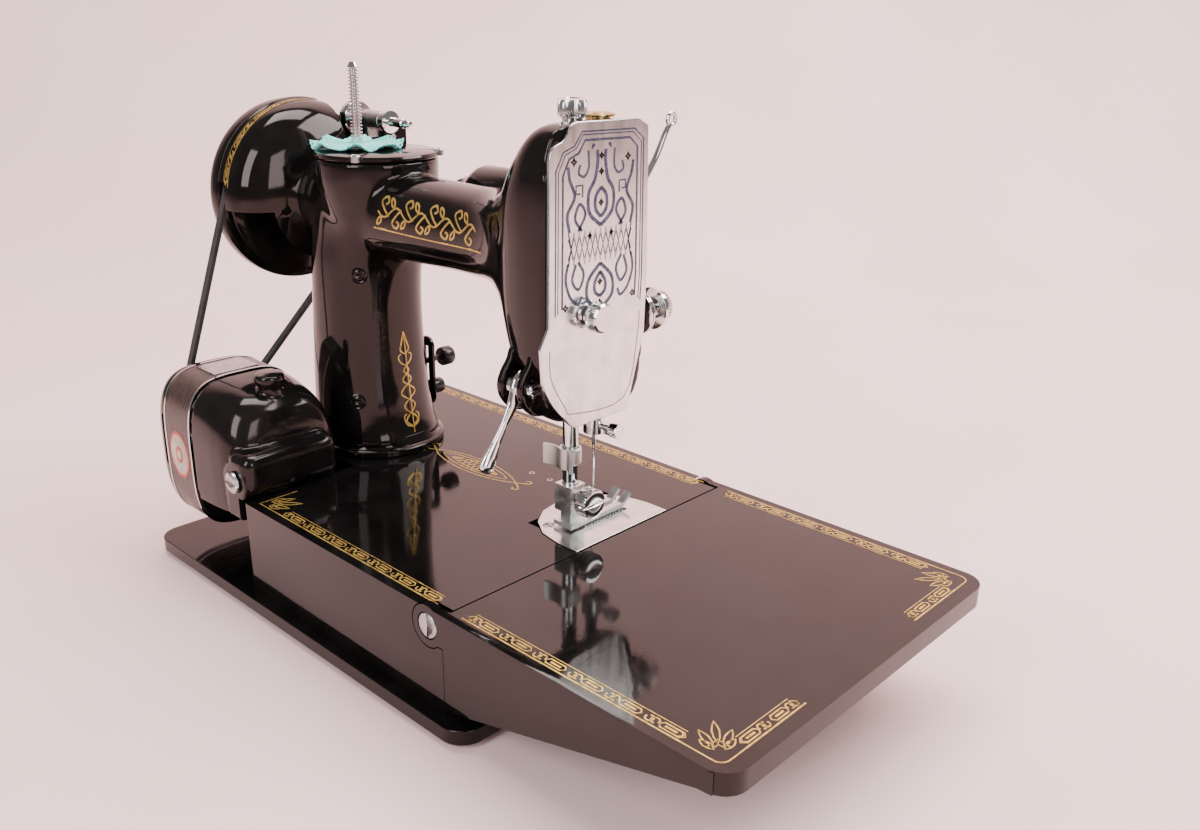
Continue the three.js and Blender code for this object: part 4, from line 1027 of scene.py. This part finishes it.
def make_badges():
    """A blank oval badge on the motor's rear face and a blank plate on its top."""
    face = MOTOR_Y + MOTOR_HALF_Y
    for name, half, rise, finish in (
        ("badge_rim", 9.2, 0.1, BADGE_RED), ("badge_field", 8.0, 0.2, BADGE_CREAM),
        ("badge_drop", 3.4, 0.3, BADGE_RED), ("badge_heart", 2.0, 0.4, BADGE_CREAM),
    ):
        oval = [(203 + half * math.cos(a), 7 + (half + 3 * half / 9.2) * math.sin(a)) for a in turns(64)]
        shown(name, plate(oval, "xz", face - 0.6, face + rise, 0.08), finish, "machine", "motor_band_paint")
    top = MOTOR_Z + MOTOR_HALF_Z
    label = [(194, 46), (212, 46), (212, 70), (194, 70)]
    shown("blank_plate", plate(label, "xy", top - 0.6, top + 0.25, 0.2), STEEL, "machine", "steel")


# ---------------------------------------------------------------- ornament
ORNAMENT = 0.06  # thickness of the transfers


def stroke(bm, line, width, height, place, closed=False):
    """Adds a flat raised line to bm; place(u, v, h) gives the point at height h over the surface."""
    count = len(line)
    left, right = [], []
    for k, p in enumerate(line):
        ahead = line[(k + 1) % count] if closed or k + 1 < count else p
        behind = line[k - 1] if closed or k > 0 else p
        along = (ahead - behind)
        if along.length < 1e-9:
            along = Vector((1, 0))
        along.normalize()
        side = Vector((-along.y, along.x)) * width / 2
        left.append(p + side)
        right.append(p - side)
    rows = []
    for a, b in zip(left, right):
        rows.append([bm.verts.new(place(a.x, a.y, 0)), bm.verts.new(place(a.x, a.y, height)),
                     bm.verts.new(place(b.x, b.y, height)), bm.verts.new(place(b.x, b.y, 0))])
    bridge(bm, [*rows, rows[0]] if closed else rows)
    if not closed:
        close_ends(bm, rows)


def arc(cx, cy, rx, ry, start, end, steps=14):
    angles = [math.radians(start + (end - start) * k / steps) for k in range(steps + 1)]
    return [Vector((cx + rx * math.cos(a), cy + ry * math.sin(a))) for a in angles]


def curve2(points, steps=8):
    return [Vector((p.x, p.y)) for p in curve_through([(a, b, 0) for a, b in points], steps)]


def drawn(name, strokes, place, material, body, slot, height=ORNAMENT):
    """One ornament from a list of (line, width, closed)."""
    bm = bmesh.new()
    for line, width, closed in strokes:
        stroke(bm, line, width, height, place, closed)
    return shown(name, mesh_from(bm, name, 20), material, body, slot)


BORDER = 6.2  # width of the deck's border


def border_unit(start):
    """One repeat of the border along u: a long link, a crossed pair of loops and a dot; v runs across it."""
    mid = BORDER / 2
    long_link = [(start + 1.2, mid), (start + 2.4, mid + 1.5), (start + 9.2, mid + 1.5), (start + 10.4, mid),
                 (start + 9.2, mid - 1.5), (start + 2.4, mid - 1.5)]
    bar = [(start + 3.4, mid), (start + 8.2, mid)]
    knots = [
        arc(start + 12.2, mid + 0.1, 1.5, 1.5, 200, -110), arc(start + 14.4, mid - 0.1, 1.5, 1.5, 20, -290),
    ]
    lines = [([Vector(p) for p in long_link], 0.65, True), ([Vector(p) for p in bar], 0.9, False)]
    lines += [(knot, 0.65, False) for knot in knots]
    return lines


UNIT = 16.6


def border_lines(length):
    """A straight border: outer and inner rail with whole repeats between them, closed at its ends."""
    repeats = max(1, round((length - 2) / UNIT))
    squeeze = (length - 2) / (repeats * UNIT)
    lines = [([Vector((0, 0.25)), Vector((length, 0.25))], 0.7, False)]
    lines.append(([Vector((2.5, BORDER - 0.2)), Vector((length - 2.5, BORDER - 0.2))], 0.35, False))
    for side in (0, 1):
        end = [(3.2, 1.2), (1.2, BORDER / 2), (3.2, BORDER - 1.2)]
        lines.append(([Vector((length - u if side else u, v)) for u, v in end], 0.5, False))
    for k in range(repeats):
        for line, width, closed in border_unit(0):
            moved = [Vector((1 + (p.x + k * UNIT) * squeeze, p.y)) for p in line]
            lines.append((moved, width, closed))
    return lines


def laid(lines, start, along, inwards):
    """Border lines turned from (u, v) to a place on the deck."""
    out = []
    for line, width, closed in lines:
        out.append(([Vector((start[0] + along[0] * p.x + inwards[0] * p.y,
                             start[1] + along[1] * p.x + inwards[1] * p.y)) for p in line], width, closed))
    return out


def corner_fan(u_sign, v_sign, x, y):
    """A stepped fan of leaves that fills an inner corner."""
    lines = []
    for reach, spread in ((17, 8), (13.5, 24), (13.5, -24), (9.5, 38), (9.5, -38)):
        middle_angle = 45 + spread if abs(spread) > 8 else 45
        angle = math.radians(middle_angle)
        tip = (reach * math.cos(angle), reach * math.sin(angle))
        across = (-math.sin(angle), math.cos(angle))
        waist = 0.55
        leaf = []
        for t in (0.3, 0.5, 0.7, 0.86, 1.0):
            swell = 1.3 * math.sin(math.pi * (t - 0.3) / 0.7)
            leaf.append((tip[0] * t + across[0] * swell, tip[1] * t + across[1] * swell))
        for t in (0.86, 0.7, 0.5):
            swell = 1.3 * math.sin(math.pi * (t - 0.3) / 0.7)
            leaf.append((tip[0] * t - across[0] * swell, tip[1] * t - across[1] * swell))
        lines.append(([Vector((x + u_sign * a, y + v_sign * b)) for a, b in leaf], waist, True))
    for reach in (3.4, 5.2):
        step = [(reach, 0), (reach, reach), (0, reach)]
        lines.append(([Vector((x + u_sign * a, y + v_sign * b)) for a, b in step], 0.5, False))
    return lines


def make_deck_ornament():
    """Gold borders round the leaf and the bed, and a round ornament on the bed."""
    def on_deck(u, v, height):
        return Vector((u, v, 0.02 + height))

    inset = 4.4
    rear = DECK_HALF - inset
    left = LEAF_END + inset + 1.6
    seam_left = -6.5
    leaf = []
    leaf += laid(border_lines(seam_left - left - 16), (left + 16, rear), (1, 0), (0, -1))
    leaf += laid(border_lines(seam_left - left - 16), (left + 16, -rear), (1, 0), (0, 1))
    leaf += laid(border_lines(34), (left, rear - 12), (0, -1), (1, 0))
    leaf += laid(border_lines(34), (left, -rear + 12), (0, 1), (1, 0))
    for side in (1, -1):
        bend = [Vector((left + 16, side * (rear - 0.25))), Vector((left + 4, side * (rear - 0.25)))]
        bend += [Vector((left + 4 - 3.75 * math.sin(a), side * (rear - 4 + 3.75 * math.cos(a))))
                 for a in [math.pi / 2 * k / 8 for k in range(9)]]
        bend += [Vector((left + 0.25, side * (rear - 12)))]
        leaf.append((bend, 0.55, False))
        leaf += corner_fan(1, -side, left + 4.2, side * (rear - 4.2))
    drawn("leaf_ornament", leaf, on_deck, GOLD, "leaf", "brass")

    bed = []
    corner_x = extent("bed_casting")[1].x
    rear_end = 138.0
    bed += laid(border_lines(rear_end - 18 - 6), (8, rear), (1, 0), (0, -1))
    bed += laid(border_lines(corner_x - 26), (8, -rear), (1, 0), (0, 1))
    bed += corner_fan(-1, -1, rear_end - 2, rear - 2)
    bed.append(([Vector((rear_end - 16, rear - 0.25)), Vector((rear_end, rear - 0.25)),
                 Vector((rear_end, rear - 20))], 0.55, False))
    bed += medallion(103, -17)
    drawn("bed_ornament", bed, on_deck, GOLD, "machine", "brass")
    oil_holes()


def medallion(x, y):
    """A long ornament of nested almond shapes and curled ends."""
    lines = []
    for reach, half in ((30, 7.5), (24, 5.2), (17, 3.2)):
        almond = [Vector((x + reach * math.cos(a), y + half * math.sin(a) * abs(math.sin(a)) ** 0.6))
                  for a in turns(48)]
        lines.append((almond, 0.5, True))
    for side in (1, -1):
        for turn in (1, -1):
            curl = [(x + side * 30, y), (x + side * 34, y + turn * 1.8), (x + side * 37, y + turn * 4.6),
                    (x + side * 34.6, y + turn * 6), (x + side * 33.4, y + turn * 4.4)]
            lines.append((curve2(curl), 0.6, False))
    for phase in (0, 1, 2):
        weave = [Vector((x - 16 + 32 * k / 60, y + 4.2 * math.cos(math.pi * k / 60 - math.pi / 2)
                         * math.sin(2 * math.pi * (k / 20 + phase / 3)))) for k in range(61)]
        lines.append((weave, 0.5, False))
    return lines


def oil_holes():
    """Two oil holes in the deck, each with a thin bright rim."""
    for k, (x, y) in enumerate(((75.6, -31), (63.1, -31.3))):
        section = [(0.9, 0.02), (1.5, 0.02), (1.5, 0.14), (0.9, 0.14), (0.9, 0.02)]
        rim = turned("z", (x, y, 0), section, 40, bevel=0)
        shown(f"oil_hole_{k + 1}", rim, STEEL, "machine", "steel")


def make_face_engraving():
    """A mirrored scroll of our own on the face plate: border lines, lattice, lyres and buds."""
    front = extent("face_plate")[0].x

    def on_plate(u, v, height):
        return Vector((front - 0.01 - height, u, v))

    centre = -1.9
    lines = []
    outer = [(-26.6, 102.5), (-27.2, 113), (-26.2, 169), (-20.8, 173), (9, 173.6), (13, 168.6), (19, 166.6),
             (22.9, 160), (23.2, 104)]
    for shrink, width in ((0.0, 0.7), (0.055, 0.5), (0.15, 1.0)):
        rim = [Vector((a * (1 - shrink) - 1.9 * shrink, b - (b - 134) * shrink * 0.55)) for a, b in outer]
        lines.append((rim, width, False))
    lower = [(-26.4, 98), (-25.6, 88), (-17.8, 61.4), (12.5, 61.4), (18, 66), (25.4, 79), (26.2, 91)]
    lines.append((curve2(lower, 4), 0.4, False))

    def mirrored(points, width):
        for side in (1, -1):
            lines.append((curve2([(centre + side * a, b) for a, b in points]), width, False))

    def star(u, v, size):
        waist = size * 0.28
        spark = [(0, size), (waist, waist), (size, 0), (waist, -waist),
                 (0, -size), (-waist, -waist), (-size, 0), (-waist, waist)]
        for order in (1, -1):
            lines.append(([Vector((u + a, v + b)) for a, b in spark[::order]], 0.8, True))

    for swing in (-6.4, 6.4, -4.224, 4.224):
        weave = [Vector((centre - 18 + k * 3, 129.5 + swing * (-1) ** k)) for k in range(13)]
        lines.append((weave, 0.8, False))
    mirrored([(0, 122), (6.6, 116), (7.4, 109), (3.2, 104.8), (0, 103.6)], 1.6)
    mirrored([(0, 118.6), (3, 114.4), (2.8, 110.6), (0, 108.4)], 1.6)
    mirrored([(12.4, 124), (9.4, 118.6), (12.2, 113), (15.8, 117), (13.8, 123.4)], 1.3)
    mirrored([(18.2, 124), (19.4, 117.4), (16.8, 110.4), (12.4, 107), (10.4, 110)], 1.3)
    mirrored([(0, 137), (6.4, 142.4), (7, 150), (3.6, 155.4), (2.2, 162), (2.4, 166.4)], 1.7)
    mirrored([(0, 140.4), (3, 143.6), (3, 148.6), (0, 152)], 1.6)
    mirrored([(10.6, 136), (14.4, 141), (12, 146.4), (8.8, 142.4), (12.6, 136)], 1.3)
    mirrored([(17.4, 136), (18.6, 143), (14.8, 149.4), (17.4, 156), (18.4, 161)], 1.5)
    mirrored([(7.4, 166.4), (7.2, 160), (9.6, 156.8), (12.6, 158.2), (11.8, 161.4)], 1.1)
    mirrored([(5.2, 166.8), (4.8, 168.4), (3.8, 167.8)], 1.0)
    for side in (1, -1):
        key = [(10.4, 149), (10.4, 153.6), (14, 153.6), (14, 150.4), (11.8, 150.4)]
        lines.append(([Vector((centre + side * a, b)) for a, b in key], 0.9, False))
        star(centre + side * 15.2, 162.6, 1.5)
        star(centre + side * 6.2, 133.6, 1.1)
        star(centre + side * 19.6, 106.6, 1.5)
    for height in (106, 114.4, 146, 158, 164):
        star(centre, height, 1.3)
    drawn("face_engraving", lines, on_plate, ETCHED, "machine", "chrome", 0.05)


def surface(thing):
    """A shown piece's surface, for rays in the machine frame."""
    bm = bmesh.new()
    bm.from_mesh(thing.data)
    bm.transform(TO_MACHINE)
    return BVHTree.FromBMesh(bm)


def draped_on(target, direction, above):
    """A place function that drops (u, v) onto a surface along a direction; above gives where it starts."""
    tree = surface(target)

    def place(u, v, height):
        start = above(u, v)
        found = tree.ray_cast(start, direction)[0]
        if found is None:
            return start
        return found - direction * (height + 0.02)

    return place


def make_pillar_ornament(arm):
    """A tall knotted ornament on the pillar's inner side."""
    lines = []
    for turn in (1, -1):
        knot = [(0, 13), (turn * 3.4, 17), (-turn * 3.4, 24), (turn * 4.4, 31), (-turn * 2.6, 37.4),
                (turn * 1.4, 42), (0, 45)]
        lines.append((curve2(knot), 0.8, False))
        bud = [(0, 51), (turn * 2.6, 53.4), (turn * 1.6, 57.4), (0, 62.6)]
        lines.append((curve2(bud), 0.7, False))
        lines.append((curve2([(0, 45), (turn * 3, 47), (turn * 4.2, 50), (turn * 2.6, 51.4)]), 0.7, False))
        lines.append((curve2([(0, 13), (turn * 3.6, 14.6), (turn * 4.6, 18.6), (turn * 3, 20)]), 0.7, False))
    lines.append(([Vector((0, 10)), Vector((0, 62))], 0.6, False))
    place = draped_on(arm, Vector((1, 0, 0)), lambda u, v: Vector((120, -9 + u, v)))
    drawn("pillar_ornament", lines, place, GOLD, "machine", "brass")


def make_arm_scroll(arm):
    """A gold vine with curled leaves along the rear side of the arm, and a round plug in the neck."""
    place = draped_on(arm, Vector((0, -1, 0)), lambda u, v: Vector((u, 60, v)))
    lines = []
    first, last, height = 62, 132, 128
    stem = [(first + (last - first) * k / 28, height + 2.4 * math.sin(math.pi * k / 3.5)) for k in range(29)]
    lines.append((curve2(stem, 4), 0.9, False))
    for k in range(8):
        u = first + 5 + k * (last - first - 10) / 7
        side = 1 if k % 2 else -1
        curl = [(u - 3, height - side * 1.8), (u, height + side * 0.6), (u + 3.2, height + side * 4.6),
                (u + 0.4, height + side * 6.6), (u - 1.6, height + side * 4.4),
                (u + 0.2, height + side * 3.4)]
        lines.append((curve2(curl, 5), 1.0, False))
        leaf = [(u + 2, height - side * 2), (u + 4.4, height - side * 3.4), (u + 5.6, height - side * 6.2),
                (u + 3, height - side * 5), (u + 2, height - side * 2)]
        lines.append((curve2(leaf, 4), 0.9, False))
    for low, high in ((first - 4, first + 6), (last - 6, last + 3)):
        lines.append(([Vector((low, height - 8.2)), Vector((high, height - 8.2))], 0.8, False))
    base = [(first + 4, height - 8.4), ((first + last) / 2, height - 8.8), (last - 4, height - 8.4)]
    lines.append((curve2(base, 20), 0.6, False))
    drawn("arm_scroll", lines, place, GOLD, "machine", "brass")
    plug = [(arc(44, 133, 5.4, 5.4, 0, 350, 40), 0.9, True), (arc(44, 133, 4.2, 4.2, 0, 350, 40), 0.3, True)]
    drawn("neck_plug", plug, place, BLACK, "machine", "black_enamel", 0.4)


def make_pillar_screws(arm):
    """Two slotted screws sunk in the pillar's corner."""
    tree = surface(arm)
    rim_profile = [(3.1, -0.8), (3.1, 0.12), (3.5, 0.3), (4.1, 0.12), (4.3, -0.8), (3.1, -0.8)]
    for number, (x, y, z) in enumerate(((151.4, 12, 93.7), (157.4, 12, 29.4)), 1):
        inwards = Vector((0.72, -0.69, 0))
        spot, normal = tree.ray_cast(Vector((x, y, z)) - inwards * 60, inwards)[:2]
        turn = Matrix.Translation(spot) @ normal.to_track_quat("Z", "Y").to_matrix().to_4x4()
        rim = turned("z", (0, 0, 0), rim_profile, 48, bevel=0)
        head = turned("z", (0, 0, 0), [(0, -1), (2.9, -1), (2.9, 0), (2.2, 0.42), (0, 0.6)], 48, bevel=0)
        head = carved(head, block((-4, 4), (-0.4, 0.4), (0.05, 2)))
        for name, mesh in (("rim", rim), ("head", head)):
            mesh.transform(turn)
            shown(f"pillar_screw_{name}_{number}", mesh, BLACK, "machine", "black_enamel")


def make_guard_ornament():
    """A gold border bent round the guard's rim."""
    def on_guard(u, v, height):
        angle = math.radians(8) + u / 47.0
        radius = 47.06 + height
        return Vector((221.2 - (5.6 - v) * 0.02 + v * 0.72 - 0.4, SHAFT_Y + radius * math.cos(angle),
                       SHAFT_Z + radius * math.sin(angle)))

    lines = []
    for line, width, closed in border_lines(74):
        fine = []
        for a, b in zip(line, line[1:]):
            steps = max(1, round((b - a).length / 1.5))
            fine += [a.lerp(b, k / steps) for k in range(steps)]
        fine.append(line[-1])
        if closed:
            steps = max(1, round((line[0] - line[-1]).length / 1.5))
            fine += [line[-1].lerp(line[0], k / steps) for k in range(1, steps)]
        lines.append((fine, width, closed))
    drawn("guard_ornament", lines, on_guard, GOLD, "machine", "brass")


# ---------------------------------------------------------------- studio
def look(place, target):
    return (Vector(target) - Vector(place)).to_track_quat("-Z", "Y").to_euler()


def make_camera():
    """The camera at the photographed angle."""
    yaw, pitch, roll = math.radians(-46.98), math.radians(-20.28), math.radians(0.91)
    forward = Vector((math.cos(pitch) * math.cos(yaw), math.cos(pitch) * math.sin(yaw), math.sin(pitch)))
    right = forward.cross(Vector((0, 0, 1))).normalized()
    up = right.cross(forward)
    turned_right = right * math.cos(roll) + up * math.sin(roll)
    turned_up = up * math.cos(roll) - right * math.sin(roll)
    camera = bpy.data.objects.new("camera", bpy.data.cameras.new("camera"))
    matrix = Matrix((turned_right, turned_up, -forward)).transposed().to_4x4()
    matrix.translation = (-0.3486, 0.3128, 0.2701)
    camera.matrix_world = matrix
    camera.data.lens = 32.89
    camera.data.sensor_width = 36
    camera.data.clip_start = 0.01
    bpy.context.scene.collection.objects.link(camera)
    bpy.context.scene.camera = camera


def area_light(name, place, target, size, power, color):
    light = bpy.data.lights.new(name, "AREA")
    light.shape = "RECTANGLE"
    light.size, light.size_y = size
    light.energy = power
    light.color = color
    thing = bpy.data.objects.new(name, light)
    thing.location = place
    thing.rotation_euler = look(place, target)
    bpy.context.scene.collection.objects.link(thing)


def make_studio():
    """A pale sweep that turns up behind the machine, and soft lights."""
    bm = bmesh.new()
    away = Vector((math.cos(math.radians(-47)), math.sin(math.radians(-47)), 0))
    across = Vector((-away.y, away.x, 0))
    profile = [(-3.0, 0), (0.55, 0)]
    quarter = [math.pi / 2 * k / 24 for k in range(1, 25)]
    profile += [(0.55 + 0.5 * math.sin(a), 0.5 - 0.5 * math.cos(a)) for a in quarter]
    profile.append((1.05, 2.4))
    rows = []
    for reach, height in profile:
        base = away * reach + Vector((0, 0, height))
        rows.append([bm.verts.new(base - across * 3), bm.verts.new(base + across * 3)])
    for low, high in zip(rows, rows[1:]):
        bm.faces.new((low[0], low[1], high[1], high[0]))
    for face in bm.faces:
        face.smooth = True
    mesh = bpy.data.meshes.new("sweep")
    bm.to_mesh(mesh)
    bm.free()
    mesh.materials.append(PAPER)
    sweep = bpy.data.objects.new("sweep", mesh)
    bpy.context.scene.collection.objects.link(sweep)
    centre = (0, 0, 0.1)
    area_light("key", (-0.55, -0.75, 1.15), centre, (0.9, 0.7), 27, (1.0, 0.97, 0.95))
    area_light("window", (-0.1, 1.15, 0.75), centre, (0.5, 0.9), 14, (0.97, 0.98, 1.0))
    area_light("fill", (-1.3, 0.35, 0.6), centre, (0.5, 0.8), 8, (1.0, 0.96, 0.95))
    area_light("paper", (0.25, -0.25, 1.9), (0.75, -0.8, 0.3), (1.4, 0.8), 44, (1.0, 0.97, 0.96))
    world = bpy.data.worlds.new("studio")
    world.use_nodes = True
    world.node_tree.nodes["Background"].inputs["Color"].default_value = (0.95, 0.86, 0.85, 1)
    world.node_tree.nodes["Background"].inputs["Strength"].default_value = 0.26
    bpy.context.scene.world = world


make_camera()
arm_shell = make_arm()
make_guard()
make_base()
make_plate_and_feed()
make_head()
make_lifter()
make_take_up()
make_tension()
make_cover()
make_doily()
make_lamp()
make_stitch_lever()
make_winder()
make_wheel()
make_motor()
make_deck_ornament()
make_face_engraving()
make_pillar_ornament(arm_shell)
make_arm_scroll(arm_shell)
make_pillar_screws(arm_shell)
make_guard_ornament()
make_studio()
